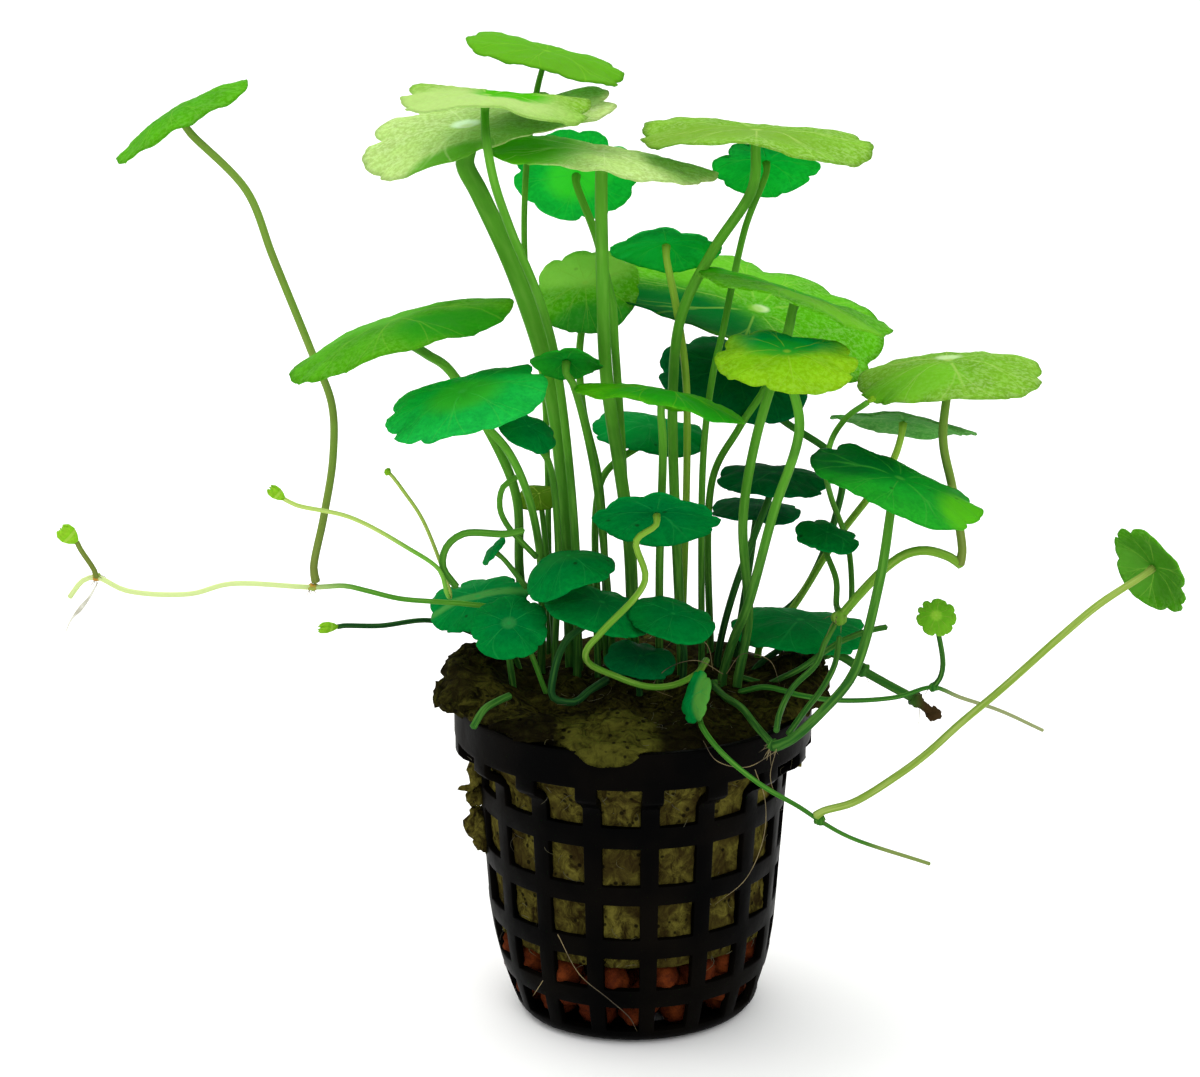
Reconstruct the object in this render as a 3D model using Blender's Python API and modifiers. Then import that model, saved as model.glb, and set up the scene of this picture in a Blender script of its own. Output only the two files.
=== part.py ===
"""Whorled pennywort growing in a 5 cm net pot.

The pot stands on z = 0 with its axis on the origin, and the leaves that hang over its front
reach towards -Y. Every length here is in millimetres; each finished mesh is scaled to metres.
"""
import math

import bmesh
import bpy
from mathutils import Matrix, Vector

MM = 0.001
OBJECT_NAME = "whorled_pennywort"

# Net pot
RIM_HEIGHT = 49.5
RIM_RADIUS = 27.1
WALL = 1.2
WALL_RADIUS_LOW = 20.9
WALL_FLARE = 0.07
FOOT_RADIUS = 17.2
FOOT_ROUNDING = (18.8, 0.8)
FOOT_TUCK = 2.2
FOOT_TUCK_HEIGHT = 15.0
HOLE_COLUMNS = 17
COLUMN_ANGLE = 360.0 / HOLE_COLUMNS
HOLE_ANGLE = 14.4
FIRST_COLUMN = -4.2
HOLE_ROWS = [(2.4, 6.8), (9.8, 15.2), (18.3, 24.0), (27.0, 33.2), (36.6, 43.8)]
FLARE_START = 39.4
FLARE_END = 42.0
FLOOR_SLOTS = 4
FLOOR_SLOT_LENGTH = 8.0
FLOOR_SLOT_WIDTH = 3.0
FLOOR_SLOT_RADIUS = 9.5

# Rockwool plug and the clay granules under it
GAP = 0.45
CLAY_BOTTOM = WALL + GAP
CLAY_TOP = 12.9
WOOL_BOTTOM = 13.3
WOOL_TOP = 50.9
WOOL_STEPS = 24

# Leaves and stems
BLADE_THICKNESS = 0.5
LOBE_DEPTH = 0.07
HUB = 0.45
FOOT_CLEARANCE = 0.8
STEM_SIDES = 5
SHARP_ANGLE = math.radians(50.0)

# The eye that the leaves' places are read from: a picture upright on the pot's axis, in
# millimetres across to the right and up from the front of the base
EYE = Vector((0.0, -500.0, 224.1))
PITCH = math.radians(16.72)
YAW = math.radians(0.572)
REACH = 524.0
PICTURE_MIDDLE = (-4.95, 75.8)
RIGHT = Vector((math.cos(YAW), math.sin(YAW), 0.0))
FORWARD = Vector((-math.sin(YAW) * math.cos(PITCH), math.cos(YAW) * math.cos(PITCH), -math.sin(PITCH)))
UP = Vector((-math.sin(YAW) * math.sin(PITCH), math.cos(YAW) * math.sin(PITCH), math.cos(PITCH)))

LEAF_GREEN = (0.16, 0.42, 0.08)
PALE_GREEN = (0.42, 0.58, 0.2)
DARK_GREEN = (0.02, 0.2, 0.08)
STEM_GREEN = (0.2, 0.42, 0.12)
POT_BLACK = (0.012, 0.011, 0.01)
WOOL_OLIVE = (0.16, 0.15, 0.06)
CLAY_RED = (0.36, 0.11, 0.04)


def seen(across, up, depth):
    """The point that is seen at (across, up) and lies depth behind the pot's axis."""
    ray = FORWARD * REACH + RIGHT * (across - PICTURE_MIDDLE[0]) + UP * (up - PICTURE_MIDDLE[1])
    return EYE + ray * ((depth - EYE.y) / ray.y)


def wool_height(x, y):
    """Height of the rockwool's lumpy top."""
    return WOOL_TOP + 0.4 * math.sin(0.2 * x + 0.8) * math.cos(0.17 * y)


def resting(x, y, lift):
    """A point on the rockwool, lift above its top."""
    return Vector((x, y, wool_height(x, y) + lift))


def wall_radius(z):
    """Outer radius of the pot's wall: tucked in at the foot, flaring into the collar at the top."""
    flare = min(1.0, max(0.0, z - FLARE_START) / (FLARE_END - FLARE_START))
    tuck = FOOT_TUCK * max(0.0, 1.0 - z / FOOT_TUCK_HEIGHT) ** 2
    straight = WALL_RADIUS_LOW + WALL_FLARE * z - tuck
    return straight + (RIM_RADIUS - straight) * flare


# Scene, collections and the section that every stem is drawn with

for old in list(bpy.data.objects):
    bpy.data.objects.remove(old, do_unlink=True)

parts = bpy.data.collections.new(OBJECT_NAME)
bpy.context.scene.collection.children.link(parts)
cutters = bpy.data.collections.new("cutters")
cutters.hide_render = True
bpy.context.scene.collection.children.link(cutters)


def stem_section():
    """A closed five-sided curve of radius 1, the bevel object of every stem."""
    curve = bpy.data.curves.new("stem_section", "CURVE")
    ring = curve.splines.new("POLY")
    ring.points.add(STEM_SIDES - 1)
    for i, point in enumerate(ring.points):
        angle = 2 * math.pi * i / STEM_SIDES
        point.co = (math.cos(angle), math.sin(angle), 0.0, 1.0)
    ring.use_cyclic_u = True
    section = bpy.data.objects.new("stem_section", curve)
    section.hide_render = True
    section.display_type = "WIRE"
    cutters.objects.link(section)
    return section


SECTION = stem_section()


def place(name, mesh, color, roughness, origin=Vector((0.0, 0.0, 0.0))):
    """Link a finished mesh as one sub-part, in metres, with its own material and origin."""
    mesh.name = name
    mesh.transform(Matrix.Translation(-origin))
    mesh.transform(Matrix.Scale(MM, 4))
    mesh.shade_smooth()
    mesh.set_sharp_from_angle(angle=SHARP_ANGLE)
    piece = bpy.data.objects.new(name, mesh)
    piece.location = origin * MM
    material = bpy.data.materials.new(name)
    material.use_nodes = True
    shader = material.node_tree.nodes["Principled BSDF"]
    shader.inputs["Base Color"].default_value = (*color, 1.0)
    shader.inputs["Roughness"].default_value = roughness
    shader.inputs["Metallic"].default_value = 0.0
    mesh.materials.clear()
    mesh.materials.append(material)
    parts.objects.link(piece)
    return piece


def evaluated(holder):
    """The mesh that an object's modifiers or bevel make; the holder is removed."""
    cutters.objects.link(holder)
    bpy.context.view_layer.update()
    mesh = bpy.data.meshes.new_from_object(holder.evaluated_get(bpy.context.evaluated_depsgraph_get()))
    bpy.data.objects.remove(holder, do_unlink=True)
    return mesh


def thickened(mesh, thickness):
    """An open sheet given its thickness on the side away from its normals."""
    holder = bpy.data.objects.new("sheet", mesh)
    solidify = holder.modifiers.new("thickness", "SOLIDIFY")
    solidify.thickness = thickness
    solidify.offset = -1.0
    return evaluated(holder)


def combined(mesh, other, operation):
    """Two closed meshes joined, or the second cut from the first."""
    tool = bpy.data.objects.new("tool", other)
    cutters.objects.link(tool)
    holder = bpy.data.objects.new("combined", mesh)
    boolean = holder.modifiers.new("boolean", "BOOLEAN")
    boolean.operation = operation
    boolean.solver = "EXACT"
    boolean.object = tool
    result = evaluated(holder)
    bpy.data.objects.remove(tool, do_unlink=True)
    return result


def tube(path, radii):
    """A capped stem of five sides through the points of a path."""
    curve = bpy.data.curves.new("stem", "CURVE")
    curve.dimensions = "3D"
    curve.bevel_mode = "OBJECT"
    curve.bevel_object = SECTION
    curve.use_fill_caps = True
    spline = curve.splines.new("POLY")
    spline.points.add(len(path) - 1)
    for point, spot, radius in zip(spline.points, path, radii):
        point.co = (*spot, 1.0)
        point.radius = radius
    mesh = evaluated(bpy.data.objects.new("stem", curve))
    work = bmesh.new()
    work.from_mesh(mesh)
    bmesh.ops.remove_doubles(work, verts=work.verts, dist=0.0001)
    bmesh.ops.recalc_face_normals(work, faces=work.faces)
    work.to_mesh(mesh)
    work.free()
    return mesh


def route(points, start, end):
    """Picture points as a path in space; a depth that is left out lies between its neighbours'."""
    length = [0.0]
    for a, b in zip(points, points[1:]):
        length.append(length[-1] + math.hypot(b[0] - a[0], b[1] - a[1]))
    known = [(along, point[2]) for along, point in zip(length, points) if len(point) == 3]
    known = [(-5.0, start)] + known + [(length[-1] + 5.0, end)]
    path = []
    for point, along in zip(points, length):
        before = max((mark for mark in known if mark[0] <= along), key=lambda mark: mark[0])
        after = min((mark for mark in known if mark[0] >= along), key=lambda mark: mark[0])
        span = after[0] - before[0]
        share = (along - before[0]) / span if span > 0 else 0.0
        path.append(seen(point[0], point[1], before[1] + (after[1] - before[1]) * share))
    return path


# Net pot: a lattice sheet, thickened inwards, with a slotted floor


def net_pot():
    half_hole = HOLE_ANGLE / 2
    angles = []
    for column in range(HOLE_COLUMNS):
        middle = FIRST_COLUMN + column * COLUMN_ANGLE
        angles += [math.radians(middle - half_hole), math.radians(middle + half_hole)]
    levels = sorted([z for row in HOLE_ROWS for z in row] + [FLARE_START, FLARE_END, RIM_HEIGHT])
    rings = [(FOOT_RADIUS, 0.0), FOOT_ROUNDING] + [(wall_radius(z), z) for z in levels]
    sheet = bmesh.new()
    grid = [[sheet.verts.new((r * math.sin(a), -r * math.cos(a), z)) for a in angles] for r, z in rings]
    for low in range(len(rings) - 1):
        open_band = any(bottom <= rings[low][1] < top for bottom, top in HOLE_ROWS)
        for i in range(len(angles)):
            if open_band and i % 2 == 0:
                continue
            j = (i + 1) % len(angles)
            sheet.faces.new((grid[low][i], grid[low][j], grid[low + 1][j], grid[low + 1][i]))
    floor = sheet.faces.new(list(reversed(grid[0])))
    bmesh.ops.recalc_face_normals(sheet, faces=sheet.faces)
    floor.normal_update()
    if floor.normal.z > 0:
        bmesh.ops.reverse_faces(sheet, faces=sheet.faces)
    mesh = bpy.data.meshes.new("net_pot")
    sheet.to_mesh(mesh)
    sheet.free()
    place("net_pot", combined(thickened(mesh, WALL), floor_slots(), "DIFFERENCE"), POT_BLACK, 0.35)


def floor_slots():
    """Box cutters for a ring of radial slots through the floor."""
    boxes = bmesh.new()
    for i in range(FLOOR_SLOTS):
        box = bmesh.ops.create_cube(boxes, size=1.0)["verts"]
        size = Matrix.Diagonal((FLOOR_SLOT_LENGTH, FLOOR_SLOT_WIDTH, 6.0, 1.0))
        out = Matrix.Translation((FLOOR_SLOT_RADIUS, 0.0, 0.0))
        turn = Matrix.Rotation(math.tau * i / FLOOR_SLOTS, 4, "Z")
        bmesh.ops.transform(boxes, matrix=turn @ out @ size, verts=box)
    mesh = bpy.data.meshes.new("floor_slots")
    boxes.to_mesh(mesh)
    boxes.free()
    return mesh


net_pot()


# Rockwool plug and clay bed: lofts that follow the inside of the pot


def lofted(rings):
    """A closed body through rings of points, with a fan at each end."""
    body = bmesh.new()
    grid = [[body.verts.new(point) for point in ring] for ring in rings]
    count = len(grid[0])
    for lower, upper in zip(grid, grid[1:]):
        for i in range(count):
            j = (i + 1) % count
            body.faces.new((lower[i], lower[j], upper[j], upper[i]))
    body.faces.new(list(reversed(grid[0])))
    tip = body.verts.new(sum((v.co for v in grid[-1]), Vector()) / count)
    for i in range(count):
        body.faces.new((grid[-1][i], grid[-1][(i + 1) % count], tip))
    bmesh.ops.recalc_face_normals(body, faces=body.faces)
    mesh = bpy.data.meshes.new("loft")
    body.to_mesh(mesh)
    body.free()
    return mesh


def bump(angle, centre, width):
    """1 at an azimuth, falling smoothly to 0 at width degrees on either side."""
    away = abs((angle - centre + 180.0) % 360.0 - 180.0)
    return 0.5 + 0.5 * math.cos(math.pi * away / width) if away < width else 0.0


def rockwool():
    """The plug stands proud of the rim and hangs over it at the left and right ends."""
    inner = RIM_RADIUS - WALL - GAP
    rings = [[] for _ in range(10)]
    for i in range(WOOL_STEPS):
        angle = 360.0 * i / WOOL_STEPS
        reach = max(bump(angle, 180.0, 42.0), bump(angle, 2.0, 36.0))
        lip = min(1.0, 1.6 * reach)
        hang = 1.0 if reach > 0.95 else 0.0
        profile = [
            (wall_radius(WOOL_BOTTOM) - WALL - GAP, WOOL_BOTTOM),
            (wall_radius(36.0) - WALL - GAP, 40.0),
            (inner - 0.3, 45.6),
            (inner, 50.0),
            (inner + 2.3 * lip, 50.0 + 0.05 * lip),
            (inner + 0.1 + 2.4 * lip, 50.1 - 1.7 * hang),
            (inner - 0.1 + 3.9 * lip, 50.5 + 0.9 * lip),
            (inner - 2.2 + 3.2 * lip, 50.9 + 3.2 * lip),
        ]
        for ring, (radius, z) in zip(rings, profile):
            ring.append(polar(radius, angle, z))
        for ring, radius in ((rings[8], 20.0), (rings[9], 10.0)):
            x, y, _ = polar(radius, angle, 0.0)
            ring.append(resting(x, y, 0.0))
    place("rockwool", lofted(rings), WOOL_OLIVE, 0.95)


def polar(radius, degrees, z):
    turn = math.radians(degrees)
    return Vector((radius * math.cos(turn), radius * math.sin(turn), z))


def clay_bed():
    """Clay granules as one lumpy bed."""
    steps = 18
    rings = []
    for level, z in enumerate((CLAY_BOTTOM, 4.0, 8.0, CLAY_TOP - 0.5, CLAY_TOP)):
        ring = []
        for i in range(steps):
            radius = 16.4 if level == 0 else wall_radius(z) - WALL - GAP - 0.4
            radius -= 0.35 * (1 + math.sin(2.3 * i + 1.7 * level))
            radius -= 3.0 if level == 4 else 0.0
            ring.append(polar(radius, 360.0 * i / steps, z))
        rings.append(ring)
    place("clay_bed", lofted(rings), CLAY_RED, 0.9)


rockwool()
clay_bed()


# Leaves: a round lobed blade on a stalk that joins the middle of its underside


def blade_frame(at, half, slope, face, dome):
    """The rim's middle, real radius, right, back and top directions of a blade seen at a place.

    Its outline is face times half high on either side of the place, dome and all, and it is seen
    from below where face is negative.
    """
    spot = seen(*at)
    view = (EYE - spot).normalized()
    swing = math.radians(slope)
    rise = UP * math.cos(swing) - RIGHT * math.sin(swing)
    rise = (rise - view * rise.dot(view)).normalized()
    tilt = abs(face)
    if tilt < 2.0 * dome:
        tilt = 2.0 * math.sqrt(2.0 * dome * tilt) - 2.0 * dome
    radius = half * (spot - EYE).dot(FORWARD) / REACH
    centre = spot + rise * radius * (tilt - abs(face))
    tilt = math.copysign(tilt, face)
    top = view * tilt + rise * math.sqrt(1.0 - tilt * tilt)
    right = rise.cross(view)
    return centre, radius, right, top.cross(right), top


def blade_point(frame, share, angle, dome, wave, turn, lobes):
    """A point of the blade's upper surface, share of the way from its middle to its rim."""
    centre, radius, right, back, top = frame
    reach = radius * share * (1.0 - LOBE_DEPTH * share * (0.5 - 0.5 * math.cos(lobes * (angle - turn))))
    outer = max(0.0, share - HUB) / (1.0 - HUB)
    height = dome * (1.0 - share ** 2) + wave * outer * math.sin(3 * angle + turn)
    return centre + (right * math.cos(angle) + back * math.sin(angle)) * reach + top * radius * height


def blade(frame, dome, wave, turn, lobes):
    """A lobed sheet, flat in its middle, with its thickness below."""
    sheet = bmesh.new()
    rings = []
    for share, steps in ((HUB, lobes), (1.0, 2 * lobes)):
        angles = [turn + math.tau * i / steps for i in range(steps)]
        rings.append([sheet.verts.new(blade_point(frame, share, a, dome, wave, turn, lobes)) for a in angles])
    hub, rim = rings
    middle = sheet.faces.new(hub)
    for i in range(lobes):
        j = (i + 1) % lobes
        sheet.faces.new((hub[i], rim[2 * i], rim[2 * i + 1]))
        sheet.faces.new((hub[i], rim[2 * i + 1], hub[j]))
        sheet.faces.new((hub[j], rim[2 * i + 1], rim[2 * j]))
    bmesh.ops.recalc_face_normals(sheet, faces=sheet.faces)
    middle.normal_update()
    if middle.normal.dot(frame[4]) < 0:
        bmesh.ops.reverse_faces(sheet, faces=sheet.faces)
    mesh = bpy.data.meshes.new("blade")
    sheet.to_mesh(mesh)
    sheet.free()
    return thickened(mesh, BLADE_THICKNESS)


def leaf(name, at, half, slope, face, stalk, foot=None, dome=0.2, wave=0.04, width=1.0, lobes=8,
         color=LEAF_GREEN):
    """One leaf; its stalk follows picture points from the blade to a foot on the rockwool."""
    frame = blade_frame(at, half, slope, face, dome)
    centre, radius, _, _, top = frame
    turn = 0.3 * at[0] % 1.0
    body = blade(frame, dome, wave, turn, lobes)
    join = centre + top * (radius * dome * (1.0 - HUB ** 2) - 0.5 * BLADE_THICKNESS)
    end_depth = foot[1] if foot else stalk[-1][2]
    path = [join, join - top * 1.6] + route(stalk, at[2], end_depth)
    if foot:
        path.append(Vector((foot[0], foot[1], wool_height(*foot) + FOOT_CLEARANCE)))
    radii = [0.42 * width] + [0.45 * width] * (len(path) - 2) + [0.55 * width]
    place(name, combined(body, tube(path, radii), "UNION"), color, 0.4, centre)


def young_leaf(name, stalk, tip_radius, foot=None, color=PALE_GREEN, width=0.9):
    """A stalk whose leaf is still folded: a stem that swells near its tip."""
    path = route(stalk, stalk[0][2], foot[1] if foot else stalk[-1][2])
    if foot:
        path.append(Vector((foot[0], foot[1], wool_height(*foot) + FOOT_CLEARANCE)))
    radii = [0.25 * tip_radius, tip_radius, 0.8 * tip_radius] + [0.5 * width] * (len(path) - 3)
    place(name, tube(path, radii), color, 0.45, path[0])


def runner(name, points, width, lying=(), color=STEM_GREEN):
    """A creeping stem with narrowed ends; it may start with plan points that lie on the rockwool."""
    path = [resting(x, y, 0.5 * width + 0.45) for x, y in lying] + route(points, points[0][2], points[-1][2])
    radii = [0.5 * width] * len(path)
    radii[0] = 0.35 * width
    radii[-1] = 0.35 * width
    place(name, tube(path, radii), color, 0.45, path[0])


# Runners first: the creeping stems that some leaves stand on

runner("runner_left",
       [(-16.5, 61, -5), (-20, 65, -4), (-25, 66, -5), (-38, 67.5), (-48, 68.5, -6), (-60.5, 69),
        (-66.5, 67.5), (-76, 68), (-80.5, 70), (-82.5, 69.5), (-84.5, 67, -4)], 1.2, lying=[(-13, -6)])
runner("runner_arc",
       [(-26.5, 68.6, -10), (-28.5, 71.5), (-28, 74.5), (-25.5, 76.5), (-19, 76.5), (-16.5, 77, -10)], 0.9)
runner("runner_loop",
       [(-17.5, 85, -6), (-19.5, 83.5), (-20, 80.5), (-19, 78, -6), (-14.5, 73, -4)], 0.9)
runner("runner_front",
       [(20, 53.5, -9), (25.5, 52.2, -12.5), (31.5, 51.5, -10), (39.5, 52), (45, 53.5, -8), (49, 52),
        (55, 50), (61.5, 47, -8)], 1.1, lying=[(16, -5.5)])
runner("runner_right_low",
       [(9.8, 50.3, -16.5), (10.5, 47.3, -24), (13.5, 43.5, -28.5), (19, 39, -30), (25, 35.5, -29.5),
        (28, 33.5, -28.5), (32.5, 31, -28), (44.5, 27, -28)], 1.3, lying=[(9, -6)])
runner("runner_low",
       [(18.5, 47.6, -20), (21, 44.8, -26)], 1.4, lying=[(12, -3), (13.5, -8), (16, -14)])
runner("runner_rise_1",
       [(21.5, 47, -26.5), (22, 49.5, -22), (24, 53.5, -16), (27.5, 57, -13), (28.7, 60, -11),
        (30.3, 63, -10)], 0.9)
runner("runner_rise_2",
       [(23.3, 46.5, -24), (25.8, 50, -20), (28.5, 53.5, -17), (30.3, 57, -14), (31, 61, -12)], 0.9)
runner("runner_arch",
       [(31.5, 64.5, -10), (34.5, 68, -10), (38, 71.5), (41, 73.5), (44, 74), (47.5, 73), (49, 72, -9)], 1.0)
runner("runner_bud",
       [(22.5, 55, -5), (25.5, 56.5, -8), (28, 58.3), (31.5, 60.5), (35.5, 62), (38, 62.5, -8)],
       0.8, lying=[(16.5, 1.5), (20, -1)])
runner("runner_cut_end",
       [(29, 58.9, 3), (31.5, 58, 2.5), (34.5, 56, 2), (38, 54, 1), (42.5, 51.5, 0), (45, 49.5, 0)], 1.8)
runner("cut_stub",
       [(-18.5, 52.2, -17), (-20.5, 51.3, -19), (-22.5, 50, -22), (-24, 47.5, -24)], 1.3)

# Leaves of the upper storey, left to right

leaf("leaf_01", (-68, 139, -2), 11.2, 31, 0.15,
     [(-58, 128), (-54, 118), (-48.3, 104, 1), (-45.2, 96, 1), (-45, 88, 0), (-46.4, 79, -3),
      (-47.7, 69.9, -6.3)], dome=0.22)
leaf("leaf_02", (-35, 106.5, -12), 17.2, 18.4, 0.18,
     [(-31, 103.5, -6), (-27.5, 101, -2), (-18, 84, 3), (-17, 71, 11)],
     foot=(-16.5, 13.5), dome=0.28, width=1.3)
leaf("leaf_03", (-25, 96, -20), 12.5, 18, 0.38, [(-18.5, 88.5), (-14, 74)], foot=(-14, 6), width=1.1)
leaf("leaf_04", (-13, 148, 4), 12.6, -13, -0.25,
     [(-14.5, 143, 8), (-16, 131.5, 9.5), (-16, 114.5, 11), (-13.5, 100.5, 12)], foot=(-13, 14))
leaf("leaf_05", (-19, 140.5, -17), 16.6, -4, 0.2,
     [(-22, 135.5, -20), (-21, 130, -20), (-18.5, 122.5, -15), (-14, 111.5, -8), (-11.5, 102, -3),
      (-8.7, 76, 0)],
     foot=(-8.5, 3), dome=0.15, wave=0.06, width=1.5, lobes=9)
leaf("leaf_06", (-25, 138, -5), 15.3, 3, 0.32,
     [(-23, 127.5), (-17, 114, -1), (-11.5, 95, 2)], foot=(-9, 7), dome=0.05, width=2.3, lobes=9)
leaf("leaf_07", (-4.5, 132.7, -8), 17, -5.5, 0.2,
     [(-4.5, 113), (-4, 100.5), (-0.5, 75)], foot=(0, 4), dome=0.08, width=1.7, lobes=9)
leaf("leaf_08", (-8.5, 129.5, 18), 9, 0, -0.7,
     [(-5.5, 121, 10.5), (-4, 115, 5), (-3, 110.5, 0), (-2.7, 105, -2.5), (-2, 95, 1.5)], foot=(0, 9),
     dome=0.1)
leaf("leaf_09", (18.5, 136, -8), 17.3, -3, 0.13,
     [(18, 128.5), (12, 119), (7.5, 110, -4), (6, 98, 0.5)],
     foot=(7.5, 4), dome=0.1, wave=0.08, width=1.6, lobes=9)
leaf("leaf_10", (20, 131.5, 6), 8.3, 0, -0.5,
     [(17, 123), (14.7, 113, 2.5), (13.5, 107, -2), (12, 100.5, -6), (10.5, 87.5, 1)],
     foot=(10.5, 7), width=1.2)
leaf("leaf_11", (5, 119, 1), 8.8, 0, -0.33, [(6.5, 110.5, 0), (8, 99, 1.5)], foot=(7.5, 12))
leaf("leaf_12", (-5.5, 113, 8), 9.5, 10, 0.62, [(-8, 104), (-7.5, 95.5), (-5, 84)], foot=(-4, 9), width=1.1)
leaf("leaf_13", (18, 108.5, 18), 19, -15, 0.45,
     [(20.5, 100.5, 12), (16, 92.5, 9), (12, 85, 10)], foot=(12, 14), dome=0.15, width=1.1, lobes=9)
leaf("leaf_14", (24.5, 111.5, -11), 15.3, -19, 0.2,
     [(23.3, 107, -9.5), (18.5, 91, -7), (16.5, 78.5, -5), (17.3, 64, -5)],
     foot=(15.7, -2), dome=0.3, width=1.2)
leaf("leaf_15", (22, 102, -23), 12, -3, 0.45,
     [(25, 93), (21, 79.5, -13), (17.3, 66, -9), (15, 60.5, -4)], foot=(13.5, 0), width=1.2)
leaf("leaf_16", (47.5, 100, -6), 14.1, 4, 0.28, [(46.5, 91, -8), (48, 83, -7), (49.6, 73.8, -9)], dome=0.25)
leaf("leaf_17", (40.5, 93, 4), 11.5, -7, -0.12, [(38.5, 86.5), (30, 75, 14), (24, 65.5, 17)], foot=(19.5, 14),
     dome=0.15)
leaf("leaf_18", (39.5, 83.5, -18), 13.8, -22, 0.28,
     [(37, 69.5, -19), (33, 55.5, -22), (28.5, 50, -24), (23.5, 45.5, -27)], dome=0.3, width=1.1)
leaf("leaf_19", (29, 76, -2), 5, -15, 0.45, [(30.5, 69.5), (30.5, 65.8, -6)], width=0.9, lobes=6)
leaf("leaf_20", (15, 99.5, 20), 11.2, -15, 0.55,
     [(22.5, 93.5, 19), (31, 87, 17), (30.5, 79.5, 18), (24.5, 66.5, 20)], foot=(16, 17), color=DARK_GREEN)
leaf("leaf_21", (4.5, 97, -16), 13, -11, 0.15, [(4.5, 90), (4, 72, -4)], foot=(4, 1), width=1.1)
leaf("leaf_22", (2.5, 91.5, 20), 8.7, -6, 0.35, [(-4.5, 85)], foot=(-5, 15), color=DARK_GREEN)
leaf("leaf_23", (-10, 102, -10), 5.7, -3, -0.35, [(-9, 99, -8.5), (-5.5, 84)], foot=(-3, 5), lobes=6)
leaf("leaf_24", (-16, 92, -12), 5, -30, 0.5, [(-13, 88, -6), (-11.3, 76, 0)], foot=(-12, 2), lobes=6)
leaf("leaf_25", (21, 84.5, 8), 8.4, -4, 0.3,
     [(18.5, 77, 5), (15.5, 69, 6), (13.5, 62, 8)], foot=(13, 9), color=DARK_GREEN)
leaf("leaf_26", (18.5, 80, 14), 6.6, -4, 0.28, [(17.5, 72)], foot=(16, 13), color=DARK_GREEN, lobes=6)

# Leaves of the lower storey

leaf("leaf_27", (3.5, 78.5, -16), 9.4, -2, -0.4,
     [(0.5, 75.5), (1.8, 69.5, -18), (-4.5, 62, -20), (-7, 59, -18), (-6.5, 57, -15), (-3, 55.3, -13),
      (2, 53.6, -13), (6, 53.8, -11), (9.5, 55.5, -8), (11, 57.5, -3)], width=0.9)
leaf("leaf_28", (-9.5, 71.5, -10), 6.8, 5, 0.4,
     [(-6.9, 70, 0.4), (-5.8, 66, 1.6)], foot=(-5.3, 1.5), dome=0.4, lobes=6)
leaf("leaf_29", (-23, 66, 5), 8, 14, 0.5, [(-20, 62, 6)], foot=(-17.5, 5.5), color=DARK_GREEN)
leaf("leaf_30", (-18.5, 62.5, -11), 6, 10, 0.8, [(-18.5, 58)], foot=(-18, -4), color=DARK_GREEN, lobes=6)
leaf("leaf_31", (-5, 65, -9), 8.5, -15, 0.4,
     [(-10, 60.5, -10), (-12, 55), (-12, 52, -12), (-9, 51.2, -12), (-6.5, 53, -9), (-4, 54.5, -5)],
     width=0.9)
leaf("leaf_32", (7, 63.5, -11), 5.6, -12, 0.5, [(7.5, 60, -7)], foot=(7.5, -2), color=DARK_GREEN, lobes=6)
leaf("leaf_33", (1, 57.5, -7), 5.3, -10, 0.55, [], foot=(1, -5), color=DARK_GREEN, lobes=6)
leaf("leaf_34", (9.5, 52, -22), 4, 80, 0.5, [(10, 51.4, -18.5)], width=0.8, lobes=6)
leaf("leaf_35", (25, 62, 4), 10.5, -3, 0.33, [], foot=(18.5, 5), color=DARK_GREEN)
leaf("leaf_36", (45.5, 64, -13), 3.1, 0, 0.9, [(46.5, 57, -9), (46, 54.8, -8)], width=0.7, lobes=9,
     color=PALE_GREEN)
leaf("leaf_37", (77.5, 71, -10), 7.7, -52, -0.5,
     [(70, 66), (64, 61), (55, 53), (49, 48), (44, 43.5), (40, 40.5), (33, 36.2), (28.5, 34.9, -29)])
leaf("leaf_38", (-21, 74, -6), 2.6, 52, 0.25, [(-16, 68.5, -6)], width=0.7, lobes=6)
leaf("leaf_39", (-14, 82, 8), 3.8, 10, 0.5, [(-13, 74)], foot=(-12, 10), width=0.8, lobes=6)

# Young leaves, still folded

young_leaf("young_leaf_1", [(-86, 77, -5), (-84.8, 76.4), (-83, 74.8), (-80.8, 71, -5)], 1.5)
young_leaf("young_leaf_2", [(-54, 83, -11), (-52.7, 82), (-50.5, 80.8), (-42.5, 79), (-34, 74.5), (-29, 71),
                            (-28, 67.8, -11)], 1.6)
young_leaf("young_leaf_3", [(-37.5, 86.5, -6), (-36, 85), (-34.5, 83), (-31.5, 78.5), (-27.5, 67.9, -6)], 1.6)
young_leaf("young_leaf_4", [(-48, 62.2, 2), (-46, 62.5), (-43.5, 62.7), (-38, 62.7), (-30.5, 63.5, 11.5),
                            (-25, 62, 12)], 1.3, foot=(-17.5, 9.5))
young_leaf("young_leaf_5",
     [(37.5, 97.5, -17), (36, 96.3, -16), (34, 95, -13), (31.5, 92.5, -8), (29.5, 86, -4),
                            (29.7, 82, 2), (32.3, 74.5, 5.5), (32.7, 66, -2)], 1.4)
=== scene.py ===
"""Whorled pennywort in a 5 cm net pot: the looks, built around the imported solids.

Lengths are millimetres from the middle of the pot's foot, +Z up, with the front towards -Y.
"""
import math
import random

import bpy
import numpy as np
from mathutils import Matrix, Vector, noise


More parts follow.
